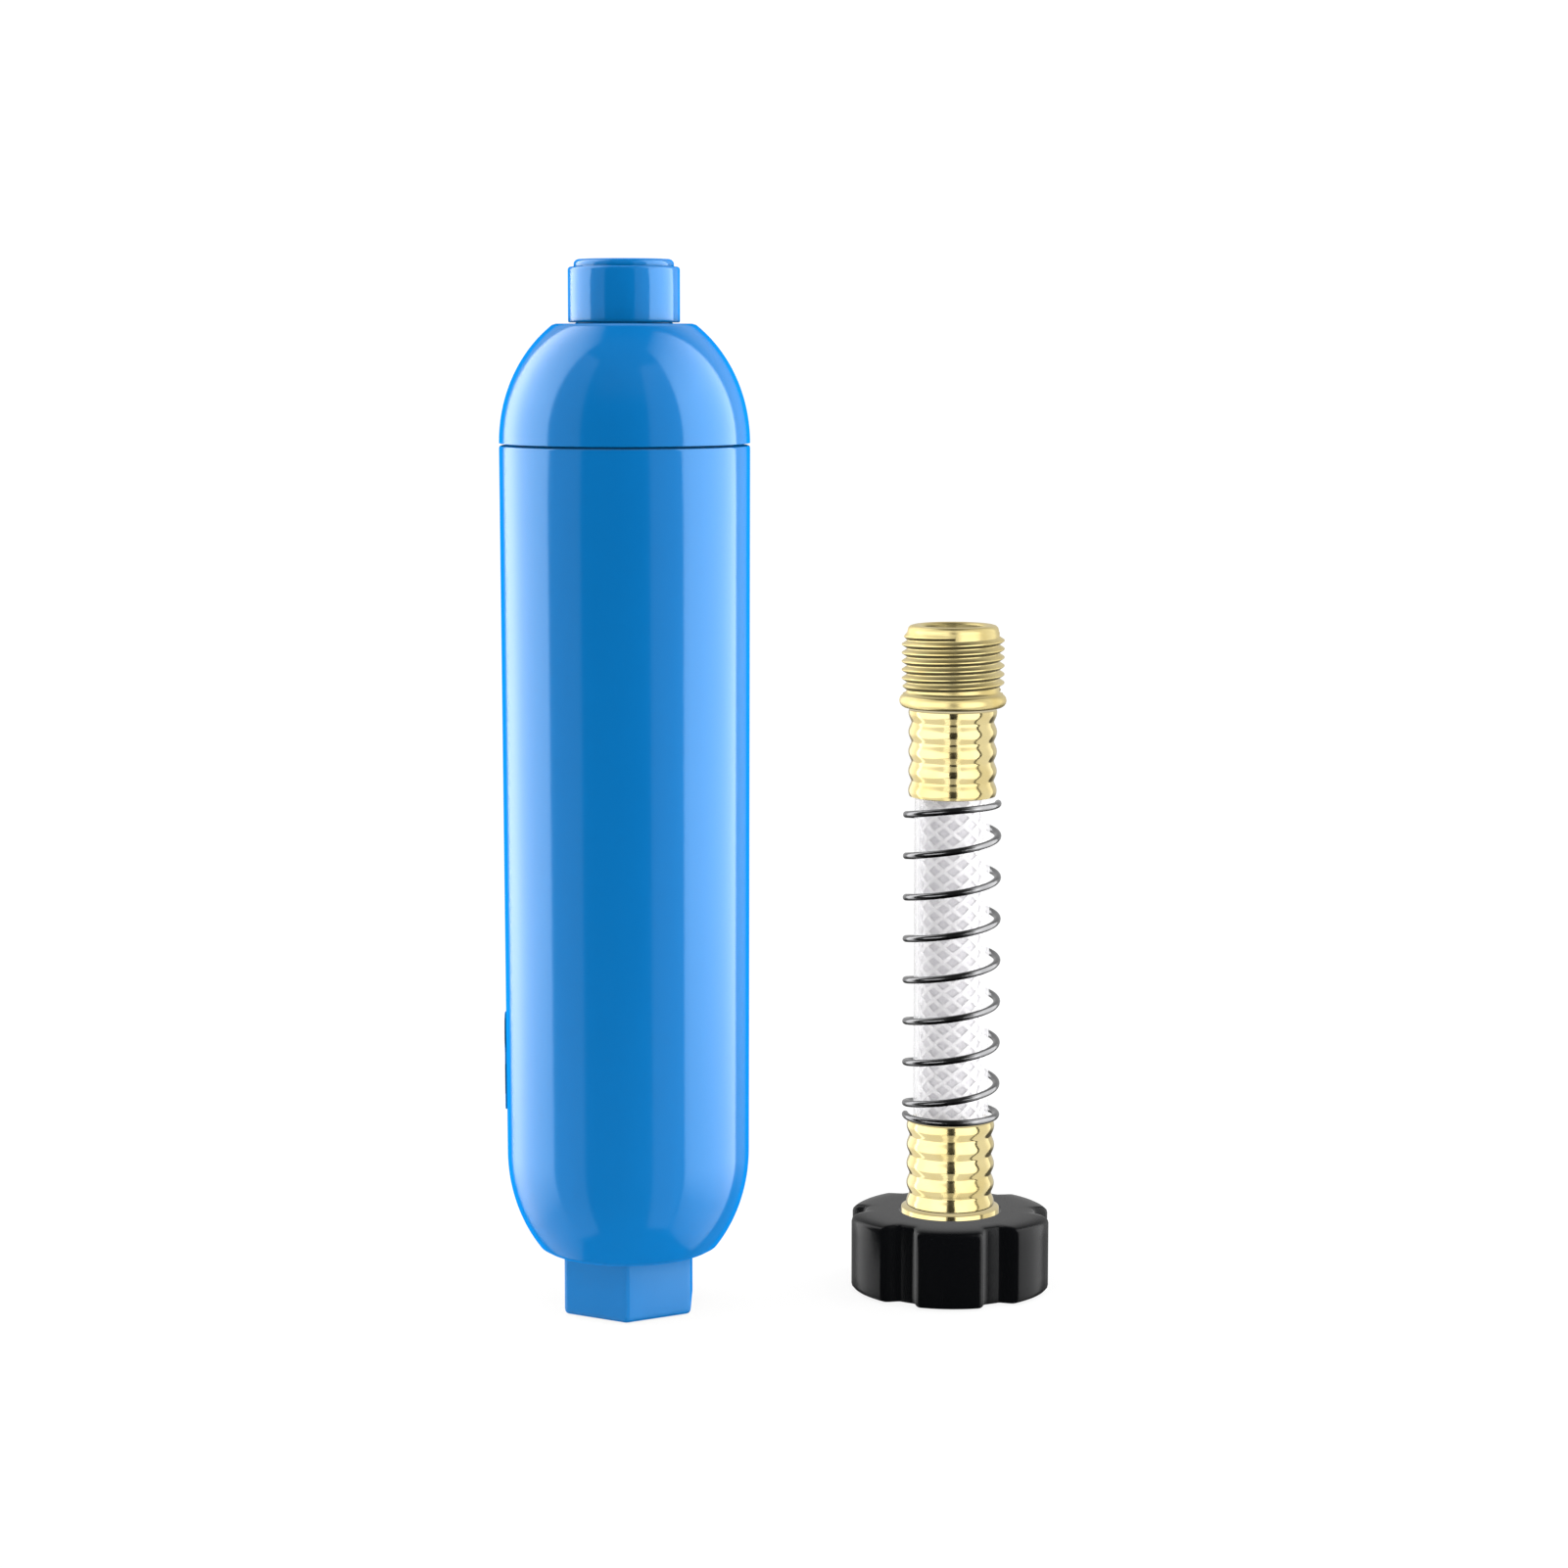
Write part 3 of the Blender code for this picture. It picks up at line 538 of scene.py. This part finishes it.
filter_at = (filter_x, filter_y)
body_shape = turn_outline(body_outline(), filter_at, 240)
shape_hexagon(body_shape, filter_at, hex_flat_r, -0.001, hex_top_z + 0.00005)
add_thread(body_shape, filter_at, socket_root_r, socket_r, low=0.0019, turns=3.2)
add_flow_arrow(body_shape, filter_at)
piece("housing_body_shell", body_shape, blue_plastic, "filter", ["housing_body"])


# ---- Housing cap --------------------------------------------------------------------------------
# Upper dome of the same blue plastic, with a skirt that plugs into the shell under the seam and a
# male hose thread on its spigot. A spin weld round the skirt closes the cartridge for good.

cap_rim_z, shoulder_z = seam_z + 0.0006, 0.2537
spigot_top_z = cap_high.z
spigot_root_r, spigot_crest_r = 0.012, 0.0133


def cap_outline():
    """Spigot from its mouth down, shoulder, dome, skirt, then the inside going up to the bore."""
    high_rise, lead_r, lead_z, groove_r = 0.0361, 0.0117, 0.2658, 0.0145
    inner_r, inner_rise, bore_r, skirt_z = 0.0262, 0.028, 0.0085, 0.207
    top_edge = math.degrees(math.asin((shoulder_z - 0.0003 - cap_rim_z) / high_rise))
    skirt_r = body_top_r - body_wall - 0.0004
    outer = [(bore_r, spigot_top_z - 0.0004), (bore_r + 0.0004, spigot_top_z),
             (lead_r - 0.0010, spigot_top_z), (lead_r - 0.0004, spigot_top_z - 0.0003),
             (lead_r, spigot_top_z - 0.0009), (lead_r, lead_z + 0.0006), (spigot_root_r, lead_z),
             (spigot_root_r, shoulder_z + 0.0004), (spigot_root_r + 0.0006, shoulder_z - 0.0002),
             (groove_r, shoulder_z - 0.0002), (groove_r, shoulder_z - 0.00005),
             (groove_r + 0.00005, shoulder_z), (0.0172, shoulder_z)]
    dome = ellipse(body_top_r, high_rise, cap_rim_z, top_edge, 0, 44)
    rim = [(body_top_r - 0.0002, cap_rim_z - 0.00005), (body_top_r - 0.0006, cap_rim_z - 0.0001)]
    skirt = [(skirt_r, cap_rim_z), (skirt_r, skirt_z + 0.001), (skirt_r - 0.0006, skirt_z),
             (inner_r, skirt_z)]
    inner_edge = math.degrees(math.acos(bore_r / inner_r))
    return outer + dome + rim + skirt + ellipse(inner_r, inner_rise, cap_rim_z, 0, inner_edge, 14)


cap_shape = turn_outline(cap_outline(), filter_at, 240)
add_thread(cap_shape, filter_at, spigot_root_r, spigot_crest_r, low=0.2562, turns=3.9)
piece("housing_cap_dome", cap_shape, blue_plastic, "filter", ["housing_cap"])


# ---- Outlet dust cap ----------------------------------------------------------------------------
# Thin push-on cap of the same blue, moulded with a stepped crown. It only keeps the outlet clean
# and pulls straight off.

dust_low, dust_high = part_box("outlet_dust_cap")
dust_r = (dust_high.x - dust_low.x) / 2


def dust_cap_outline():
    """Stepped crown from the middle out, skirt, then the inside going up to its ceiling."""
    step_z, crown_r, inside_r, ceiling_r = dust_high.z - 0.002, 0.0126, 0.0136, 0.01205
    crown = [(0.0, dust_high.z), (0.0095, dust_high.z), (0.0114, dust_high.z - 0.0001),
             (0.0120, dust_high.z - 0.0003), (crown_r - 0.0001, dust_high.z - 0.0008),
             (crown_r, dust_high.z - 0.0013), (crown_r, step_z + 0.0002),
             (crown_r + 0.0002, step_z), (dust_r - 0.0006, step_z),
             (dust_r - 0.0002, step_z - 0.0002), (dust_r, step_z - 0.0006)]
    skirt = [(dust_r, 0.262), (dust_r, dust_low.z + 0.0004), (dust_r - 0.0001, dust_low.z + 0.0001),
             (dust_r - 0.00025, dust_low.z), (inside_r + 0.0001, dust_low.z),
             (inside_r, dust_low.z + 0.0002)]
    inside = [(inside_r, 0.2669), (ceiling_r, 0.2669), (ceiling_r, 0.2684), (0.0, 0.2684)]
    return crown + skirt + inside


piece("dust_cap", turn_outline(dust_cap_outline(), filter_at, 180), blue_plastic, "outlet_cap",
      ["outlet_dust_cap"])


# ---- Inlet washer and strainer ------------------------------------------------------------------
# A flat black rubber washer seals the tap against the socket floor. A woven stainless screen sits
# in its hole and keeps grit out.

def moulded_material(name, colour, streak, roughness, grain, bump, depth, gloss=0.5):
    made, tree, shader = new_material(name)
    add_skin(tree, shader, colour, streak, roughness, grain, bump, depth)
    shader.inputs["Specular IOR Level"].default_value = gloss
    return made


def washer(name, inner, outer, low, high, at, body, replaced):
    soft = 0.0003
    outline = [(outer - soft, high), (outer, high - soft), (outer, low + soft), (outer - soft, low),
               (inner + soft, low), (inner, low + soft), (inner, high - soft), (inner + soft, high)]
    piece(name, turn_outline(outline, at, 96), rubber, body, [replaced])


def steel_material():
    """Drawn stainless wire: fine grain from the die, and a little smoke-grey variation."""
    made, tree, shader = new_material("bright_steel_wire")
    where = add_node(tree, "TexCoord").outputs["Object"]
    blotch = noise(tree, where, 240.0, 4.0)
    tone = blend_tones(tree, blotch, (0.16, 0.16, 0.165, 1.0), (0.28, 0.28, 0.285, 1.0))
    set_inputs(tree, shader, Base_Color=tone, Metallic=1.0,
               Roughness=fade(tree, blotch, 0.0, 1.0, 0.14, 0.30, False))
    add_bump(tree, shader, noise(tree, where, 5200.0, 2.0), 0.15, 0.00005)
    return made


def strainer_shape(at):
    """Rim ring with two layers of crossing wires, each wire waved over and under the other set."""
    low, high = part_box("inlet_strainer")
    middle = (low.z + high.z) / 2
    rim_r, wire_r, gap = 0.0070, 0.00011, 0.00075
    shape = turn_outline([(rim_r, middle + 0.0002), (rim_r + 0.0002, middle),
                          (rim_r, middle - 0.0002), (rim_r - 0.0003, middle - 0.0002),
                          (rim_r - 0.0003, middle + 0.0002)], at, 72)
    count = int(rim_r / gap)
    for across in (False, True):
        for i in range(-count, count + 1):
            off = i * gap
            half = math.sqrt(max(rim_r ** 2 - off ** 2, 0.0))
            if half < gap:
                continue
            wire = bmesh.new()
            bmesh.ops.create_cone(wire, segments=5, radius1=wire_r, radius2=wire_r,
                                  depth=2 * half, cap_ends=True)
            long_edges = [edge for edge in wire.edges if edge.calc_length() > half]
            bmesh.ops.subdivide_edges(wire, edges=long_edges, cuts=36)
            for vert in wire.verts:
                along, aside, up = vert.co.z, vert.co.x, vert.co.y
                wave = math.cos(math.pi * along / gap) * (1 if (i % 2) ^ across else -1)
                spot = (along, off + aside) if across else (off + aside, along)
                vert.co = (at[0] + spot[0], at[1] + spot[1], middle + up + 0.00008 * wave)
            take_in(shape, wire)
    return shape


rubber = moulded_material("black_seal_rubber", (0.012, 0.012, 0.013), (0.030, 0.030, 0.031),
                          0.62, 0.5, 0.35, 0.0002)
steel = steel_material()
washer_low, washer_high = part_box("inlet_washer")
washer("inlet_seal", 0.0075, 0.0120, washer_low.z, washer_high.z, filter_at, "filter",
       "inlet_washer")
piece("inlet_screen", strainer_shape(filter_at), steel, "filter", ["inlet_strainer"], 60)


# ---- Filter media and plates --------------------------------------------------------------------
# Sealed inside: moulded plates with drilled holes hold felt pads, copper-zinc granules and carbon
# in a stack. They keep their own solids and get their real surfaces.

def granule_material(name, dark, light, metal, size, roughness):
    """Packed grains of one size, each its own tone between dark and light."""
    made, tree, shader = new_material(name)
    place = add_node(tree, "TexCoord")
    cells = add_node(tree, "TexVoronoi", Vector=place.outputs["Object"], Scale=1.0 / size)
    split = add_node(tree, "SeparateColor", Color=cells.outputs["Color"])
    tone = blend_tones(tree, split.outputs[0], (*dark, 1.0), (*light, 1.0))
    set_inputs(tree, shader, Base_Color=tone, Metallic=metal, Roughness=roughness)
    add_bump(tree, shader, calculate(tree, "SUBTRACT", 1.0, cells.outputs["Distance"]), 0.9, size)
    return made


def fibre_material(name, dark, light, scale, detail, bump, depth, distortion=0.0, **more):
    """Noise that drifts between two tones (r, g, b) and also raises the surface."""
    made, tree, shader = new_material(name)
    place = add_node(tree, "TexCoord")
    cloud = noise(tree, place.outputs["Object"], scale, detail, distortion)
    tone = blend_tones(tree, cloud, (*dark, 1.0), (*light, 1.0))
    set_inputs(tree, shader, Base_Color=tone, **more)
    add_bump(tree, shader, cloud, bump, depth)
    return made


felt = fibre_material("needled_felt", (0.62, 0.60, 0.54), (0.86, 0.85, 0.80), 900.0, 6.0, 0.8,
                      0.0005, distortion=3.0, Roughness=0.95, Sheen_Weight=0.3)
plate_plastic = moulded_material("natural_moulded_plate", (0.70, 0.71, 0.69), (0.80, 0.81, 0.79),
                                 0.4, 0.4, 0.3, 0.0003)
copper_zinc = granule_material("copper_zinc_granules", (0.42, 0.20, 0.06), (0.78, 0.52, 0.20),
                               0.85, 0.0011, 0.42)
carbon = granule_material("granular_carbon", (0.006, 0.006, 0.007), (0.045, 0.045, 0.047),
                          0.0, 0.0016, 0.72)
inside_looks = {"kdf_media_bed": copper_zinc, "carbon_bed": carbon, "lower_filter_pad": felt,
                "separator_pad": felt, "upper_filter_pad": felt,
                "lower_media_plate": plate_plastic, "upper_media_plate": plate_plastic}
for node_name, look in inside_looks.items():
    solid = frame["nodes"][node_name].data
    solid.materials.clear()
    solid.materials.append(look)


# ---- Swivel nut grip ----------------------------------------------------------------------------
# Black plastic overmoulding with six finger lobes, pressed over the brass swivel nut so that a
# hand can tighten it.

grip_low, grip_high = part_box("swivel_nut_grip")
hose_at = (hose_x, hose_y)
grip_turn = math.radians(-92.7)
lobe_r, valley_r = 0.0266, 0.0226


def grip_radius(turn):
    """Outside radius of the grip at an angle from the front lobe: flat lobes, quick soft flanks."""
    off = abs((math.degrees(turn) + 30) % 60 - 30)
    ease = min(max((off - 17.5) / 7.5, 0.0), 1.0)
    ease = ease * ease * (3 - 2 * ease)
    return lobe_r + (valley_r - lobe_r) * ease


def grip_shape():
    """A ring with softened rims is spun, and its outside is then drawn in between the lobes."""
    top, bore, bore_top, lip, held_r = grip_high.z, 0.01565, 0.0188, 0.0133, 0.019
    outline = [(0.0215, top), (0.0234, top - 0.0001), (0.0250, top - 0.0003),
               (0.0258, top - 0.0007), (0.0264, top - 0.0013), (lobe_r, top - 0.0020)]
    outline += [(lobe_r, top - 0.0020 - (top - 0.0038) * i / 6) for i in range(1, 6)]
    outline += [(lobe_r, 0.0018), (0.0264, 0.0010), (0.0259, 0.0004), (0.0252, 0.0001),
                (0.0240, 0.0), (0.0168, 0.0), (0.0160, 0.0003), (bore, 0.0009),
                (bore, bore_top), (lip, bore_top), (lip, top - 0.0003), (lip + 0.0003, top),
                (0.0165, top), (0.0185, top)]
    shape = turn_outline(outline, hose_at, 288)
    for vert in shape.verts:
        radius, turn = polar(vert, hose_at)
        if radius > held_r:
            share = min((radius - held_r) / (lobe_r - held_r), 1.0)
            draw_in = 1 + share * (grip_radius(turn - grip_turn) / lobe_r - 1)
            set_distance(vert, hose_at, radius * draw_in)
    return shape


black_plastic = moulded_material("black_grip_plastic", (0.0014, 0.0016, 0.0020),
                                 (0.0026, 0.0028, 0.0034), 0.24, 0.35, 0.15, 0.0003, gloss=0.14)
piece("grip_nut", grip_shape(), black_plastic, "swivel_nut", ["swivel_nut_grip"])


# ---- Brass swivel nut and tailpiece -------------------------------------------------------------
# The nut is turned from brass bar, threaded inside for the tap, and swivels on the flange of the
# tailpiece. The tailpiece's stem is crimped into the hose. A flat washer and an o-ring seal them.

def turning_marks_group():
    """Lathe-turned metal: fine rings round the axis, and slow clouds of tarnish."""
    group, given, out = new_group(
        "turning_marks",
        [("Bright", (0.9, 0.8, 0.5, 1.0)), ("Tarnish", (0.7, 0.5, 0.2, 1.0)),
         ("Low Roughness", 0.1), ("High Roughness", 0.3)],
        [("Colour", "NodeSocketColor"), ("Roughness", "NodeSocketFloat"),
         ("Height", "NodeSocketFloat")])
    where = add_node(group, "TexCoord").outputs["Object"]
    patch = fade(group, noise(group, where, 130.0, 5.0), 0.42, 0.80, smooth=False)
    rough = add_node(group, "Mix", Factor=patch, A=given["Low Roughness"],
                     B=given["High Roughness"])
    rings = add_node(group, "Mapping", Vector=where, Scale=(25.0, 25.0, 5200.0))
    set_inputs(group, out, Colour=blend_tones(group, patch, given["Bright"], given["Tarnish"]),
               Roughness=rough.outputs["Result"], Height=noise(group, rings.outputs[0], 1.0, 2.0))
    return group


turning_marks = turning_marks_group()


def brass_material(name, bright, tarnish, low, high, bump):
    made, tree, shader = new_material(name)
    marks = add_node(tree, "Group", {"node_tree": turning_marks}, Bright=(*bright, 1.0),
                     Tarnish=(*tarnish, 1.0), Low_Roughness=low, High_Roughness=high)
    set_inputs(tree, shader, Base_Color=marks.outputs["Colour"],
               Roughness=marks.outputs["Roughness"], Metallic=1.0)
    add_bump(tree, shader, marks.outputs["Height"], bump, 0.00006)
    return made


satin_brass = brass_material("satin_turned_brass", (0.98, 0.82, 0.38), (0.92, 0.73, 0.28),
                             0.30, 0.40, 0.20)
bright_brass = brass_material("polished_brass", (0.95, 0.80, 0.40), (0.87, 0.69, 0.28),
                              0.11, 0.19, 0.08)


def brass_nut_shape():
    low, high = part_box("nut_thread_insert")
    neck_r, body_r, lip_z = 0.013, (high.x - low.x) / 2, 0.0185
    outline = [(0.0069, high.z), (neck_r - 0.0005, high.z), (neck_r - 0.0001, high.z - 0.0002),
               (neck_r, high.z - 0.0005), (neck_r, lip_z), (body_r - 0.0003, lip_z),
               (body_r, lip_z - 0.0003), (body_r, low.z + 0.0003), (body_r - 0.0003, low.z),
               (0.0142, low.z), (socket_root_r - 0.0002, low.z + 0.0007),
               (socket_root_r, low.z + 0.001), (socket_root_r, 0.0100), (socket_r, 0.0104),
               (socket_r, lip_z), (0.0068, lip_z), (0.0068, high.z - 0.0001)]
    shape = turn_outline(outline, hose_at, 144)
    add_thread(shape, hose_at, socket_root_r, socket_r, low=0.0025, turns=3.3)
    return shape


def tailpiece_shape():
    low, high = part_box("tailpiece")
    flange_r, stem_r, bore_r = 0.0119, 0.0062, 0.0047
    outline = [(bore_r + 0.0003, high.z), (stem_r - 0.0003, high.z), (stem_r, high.z - 0.0005)]
    for i in range(4):
        barb = 0.0445 - 0.0045 * i
        outline += [(stem_r, barb), (stem_r - 0.0005, barb - 0.0003), (stem_r, barb - 0.0035)]
    outline += [(stem_r, 0.0165), (stem_r + 0.0005, 0.016), (flange_r - 0.0003, 0.016),
                (flange_r, 0.0157), (flange_r, low.z + 0.0003), (flange_r - 0.0003, low.z),
                (bore_r + 0.0007, low.z), (bore_r, low.z + 0.0007), (bore_r, high.z - 0.0003)]
    return turn_outline(outline, hose_at, 96)


def o_ring_shape():
    low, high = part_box("swivel_o_ring")
    section_r = (high.z - low.z) / 2
    middle_z = (high.z + low.z) / 2
    middle_r = (high.x - low.x) / 2 - section_r
    outline = [(middle_r + section_r * math.cos(math.tau * i / 16),
                middle_z - section_r * math.sin(math.tau * i / 16)) for i in range(16)]
    return turn_outline(outline, hose_at, 96)


piece("brass_swivel_nut", brass_nut_shape(), bright_brass, "swivel_nut", ["nut_thread_insert"])
piece("brass_tailpiece", tailpiece_shape(), satin_brass, "hose_tail", ["tailpiece"])
washer("nut_seal", 0.0072, 0.0121, 0.0107, 0.0132, hose_at, "swivel_nut", "nut_washer")
piece("tailpiece_o_ring", o_ring_shape(), rubber, "hose_tail", ["swivel_o_ring"])


# ---- Crimp sleeves ------------------------------------------------------------------------------
# Thin polished brass ferrules, rolled into five ribs and crimped over the ends of the hose. Each
# has an inward flange that hooks behind the fitting.

def sleeve_shape(node, free_end_low):
    low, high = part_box(node)
    crest, trough, inner, flange_r = 0.0116, 0.0108, 0.0102, 0.0065
    length, first, pitch = high.z - low.z, 0.0016, 0.00515
    points = 90
    outside = [(trough - 0.0002, 0.0), (trough, 0.0001)]
    for i in range(points + 1):
        along = 0.0002 + (length - 0.0004) * i / points
        swell = (0.5 + 0.5 * math.cos(math.tau * (along - first) / pitch)) ** 0.65
        outside.append((trough + (crest - trough) * swell, along))
    outside += [(outside[-1][0] - 0.0003, length)]
    inside = [(flange_r, length), (flange_r, length - 0.0013), (inner, length - 0.0013),
              (inner, 0.0)]
    outline = outside + inside
    if free_end_low:
        outline = [(r, low.z + along) for r, along in outline]
    else:
        outline = [(r, high.z - along) for r, along in outline]
    return turn_outline(outline, hose_at, 128)


piece("lower_crimp_sleeve", sleeve_shape("lower_sleeve", False), bright_brass, "hose_tail",
      ["lower_sleeve"])
piece("upper_crimp_sleeve", sleeve_shape("upper_sleeve", True), bright_brass, "hose_head",
      ["upper_sleeve"])


# ---- Male fitting -------------------------------------------------------------------------------
# Turned brass end with the standard male hose thread, a plain lead-in and a round stop collar. Its
# barbed stem is inside the hose.

def male_fitting_shape():
    low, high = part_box("male_fitting")
    collar_r, collar_z = (high.x - low.x) / 2, 0.1545
    root, thread_r, stem_r, bore_r, mouth_r = 0.0121, 0.0134, 0.0062, 0.0047, 0.0084
    lead_r = 0.0119
    outline = [(mouth_r + 0.0004, high.z - 0.0002), (mouth_r + 0.0009, high.z),
               (lead_r - 0.0014, high.z), (lead_r - 0.0007, high.z - 0.0002),
               (lead_r - 0.0002, high.z - 0.0007), (lead_r, high.z - 0.0014),
               (lead_r, high.z - 0.0017), (root, high.z - 0.0020), (root, collar_z + 0.0044),
               (root + 0.0004, collar_z + 0.0038), (root + 0.0010, collar_z + 0.0036)]
    for i in range(9):
        turn = math.radians(90 - 22.5 * i)
        outline.append((collar_r - 0.0018 + 0.0018 * math.cos(turn),
                        collar_z + 0.0018 + 0.0018 * math.sin(turn)))
    outline += [(stem_r + 0.0005, collar_z), (stem_r, collar_z - 0.0005)]
    for i in range(4):
        barb = 0.1480 - 0.0045 * i
        outline += [(stem_r, barb), (stem_r - 0.0005, barb - 0.0032), (stem_r, barb - 0.0035)]
    outline += [(stem_r, low.z + 0.0006), (stem_r - 0.0004, low.z), (bore_r, low.z),
                (bore_r, 0.157), (mouth_r, 0.162), (mouth_r, high.z - 0.0006)]
    shape = turn_outline(outline, hose_at, 160)
    add_thread(shape, hose_at, root, thread_r, low=0.1588, turns=6.75, per_turn=128)
    return shape


piece("brass_male_fitting", male_fitting_shape(), satin_brass, "hose_head", ["male_fitting"])


# ---- Hose ---------------------------------------------------------------------------------------
# Clear flexible plastic hose, made in three layers: a milky liner, an open diamond braid of white
# yarn, and a clear jacket over it. The ends are crimped, and the pieces are built straight.

jacket_low, jacket_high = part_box("hose_jacket")


def bend_with_hose(made):
    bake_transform(made)


def hose_wall_shape(inner, outer):
    """Tube with rows close enough together to bend smoothly."""
    rows = 64
    low, high = jacket_low.z, jacket_high.z
    rise = [low + (high - low) * i / rows for i in range(rows + 1)]
    outline = [(outer, z) for z in reversed(rise)] + [(inner, z) for z in rise]
    return turn_outline(outline, hose_at, 72)


def clear_jacket_material():
    """Clear soft plastic with a little haze, which looks denser where its wall is seen edge on."""
    made, tree, shader = new_material("clear_hose_jacket")
    place = add_node(tree, "TexCoord")
    haze = noise(tree, place.outputs["Object"], 180.0, 4.0)
    tone = blend_tones(tree, haze, (0.60, 0.59, 0.61, 1.0), (0.68, 0.68, 0.69, 1.0))
    facing = add_node(tree, "LayerWeight", Blend=0.5)
    set_inputs(tree, shader, Base_Color=tone, Specular_IOR_Level=0.6,
               Roughness=fade(tree, haze, 0.0, 1.0, 0.12, 0.35, False),
               Alpha=fade(tree, facing.outputs["Facing"], 0.30, 1.0, 0.14, 0.70, False))
    add_bump(tree, shader, haze, 0.25, 0.0006)
    return made


def braid_shape():
    """Ten strands each way, each one a flat ribbon that waves over and under the others."""
    strands, lead, middle_r, steps = 10, 0.040, 0.0083, 150
    half_width, half_thick, wave = 0.00062, 0.00011, 0.00012
    low = jacket_low.z + half_width
    length = jacket_high.z - half_width - low
    section = [(middle_r - half_thick, low - half_width), (middle_r + half_thick, low - half_width),
               (middle_r + 1.6 * half_thick, low), (middle_r + half_thick, low + half_width),
               (middle_r - half_thick, low + half_width)]
    shape = bmesh.new()
    for way in (1, -1):
        for i in range(strands):
            strand = helix(section, hose_at, length / lead, steps, length / steps, way)
            for vert in strand.verts:
                radius, turn = polar(vert, hose_at)
                set_distance(vert, hose_at, radius + wave * way * math.cos(strands * turn))
            bmesh.ops.rotate(strand, verts=strand.verts, cent=(hose_x, hose_y, 0.0),
                             matrix=Matrix.Rotation(math.tau * i / strands, 3, "Z"))
            take_in(shape, strand)
    return shape


milky_liner = fibre_material("milky_hose_liner", (0.46, 0.45, 0.47), (0.58, 0.57, 0.59), 160.0, 5.0,
                             0.2, 0.0004, Roughness=0.35)
white_yarn = fibre_material("white_braid_yarn", (0.56, 0.55, 0.56), (0.70, 0.69, 0.70), 3000.0, 3.0,
                            0.5, 0.0001, Roughness=0.5, Sheen_Weight=0.2)
bend_with_hose(piece("hose_inner_tube", hose_wall_shape(0.0065, 0.00775), milky_liner, None,
                     ["hose_liner"]))
bend_with_hose(piece("hose_yarn_braid", braid_shape(), white_yarn, None, ["hose_braid"],
                     60))
bend_with_hose(piece("hose_clear_jacket", hose_wall_shape(0.0089, 0.0099), clear_jacket_material(),
                     None, ["hose_jacket"]))


# ---- Guard spring -------------------------------------------------------------------------------
# Open coil of bright drawn wire that keeps the hose from kinking. Its end turns close up against
# the two sleeves.

def guard_spring_shape():
    """A round wire is spun up a steady helix, and its rings are then let down to close the ends."""
    wire_r, coil_r, pitch, sides, per_turn, turns = 0.0009, 0.012, 0.011, 14, 72, 8.5
    low, high, start_z, ease = 0.0463, 0.1293, 0.0383, 0.001
    section = [(wire_r * math.cos(math.tau * k / sides) - coil_r,
                start_z + wire_r * math.sin(math.tau * k / sides)) for k in range(sides)]
    shape = helix(section, hose_at, turns, int(turns * per_turn), pitch / per_turn)
    zero_z = start_z + pitch / 2
    for vert in shape.verts:
        turn = polar(vert, hose_at)[1] / math.tau
        lap = round((vert.co.z - zero_z) / pitch - turn)
        free_z = zero_z + pitch * (lap + turn)
        real_z = (low + high + math.hypot(free_z - low, ease) - math.hypot(free_z - high, ease)) / 2
        vert.co.z += real_z - free_z
    bmesh.ops.recalc_face_normals(shape, faces=shape.faces)
    return shape


bend_with_hose(piece("wire_guard_spring", guard_spring_shape(), steel, None, ["guard_spring"],
                     60))


# ---- Finish -------------------------------------------------------------------------------------
# The two things are lit apart from each other, and neither is mirrored in the other.

lit_pieces = {
    "shell": ("housing_body_shell", "housing_cap_dome", "dust_cap"),
    "brass": ("brass_swivel_nut", "brass_tailpiece", "lower_crimp_sleeve", "upper_crimp_sleeve",
              "brass_male_fitting"),
    "steel": ("wire_guard_spring",),
    "plastic": ("hose_clear_jacket", "hose_yarn_braid", "hose_inner_tube", "grip_nut"),
}
for group_name, names in lit_pieces.items():
    for name in names:
        lit[group_name].objects.link(bpy.data.objects[name])
for thing in bpy.context.scene.objects:
    if thing.type == "MESH":
        thing.visible_glossy = False
for name in lit_pieces["shell"]:
    bpy.data.objects[name].visible_diffuse = False
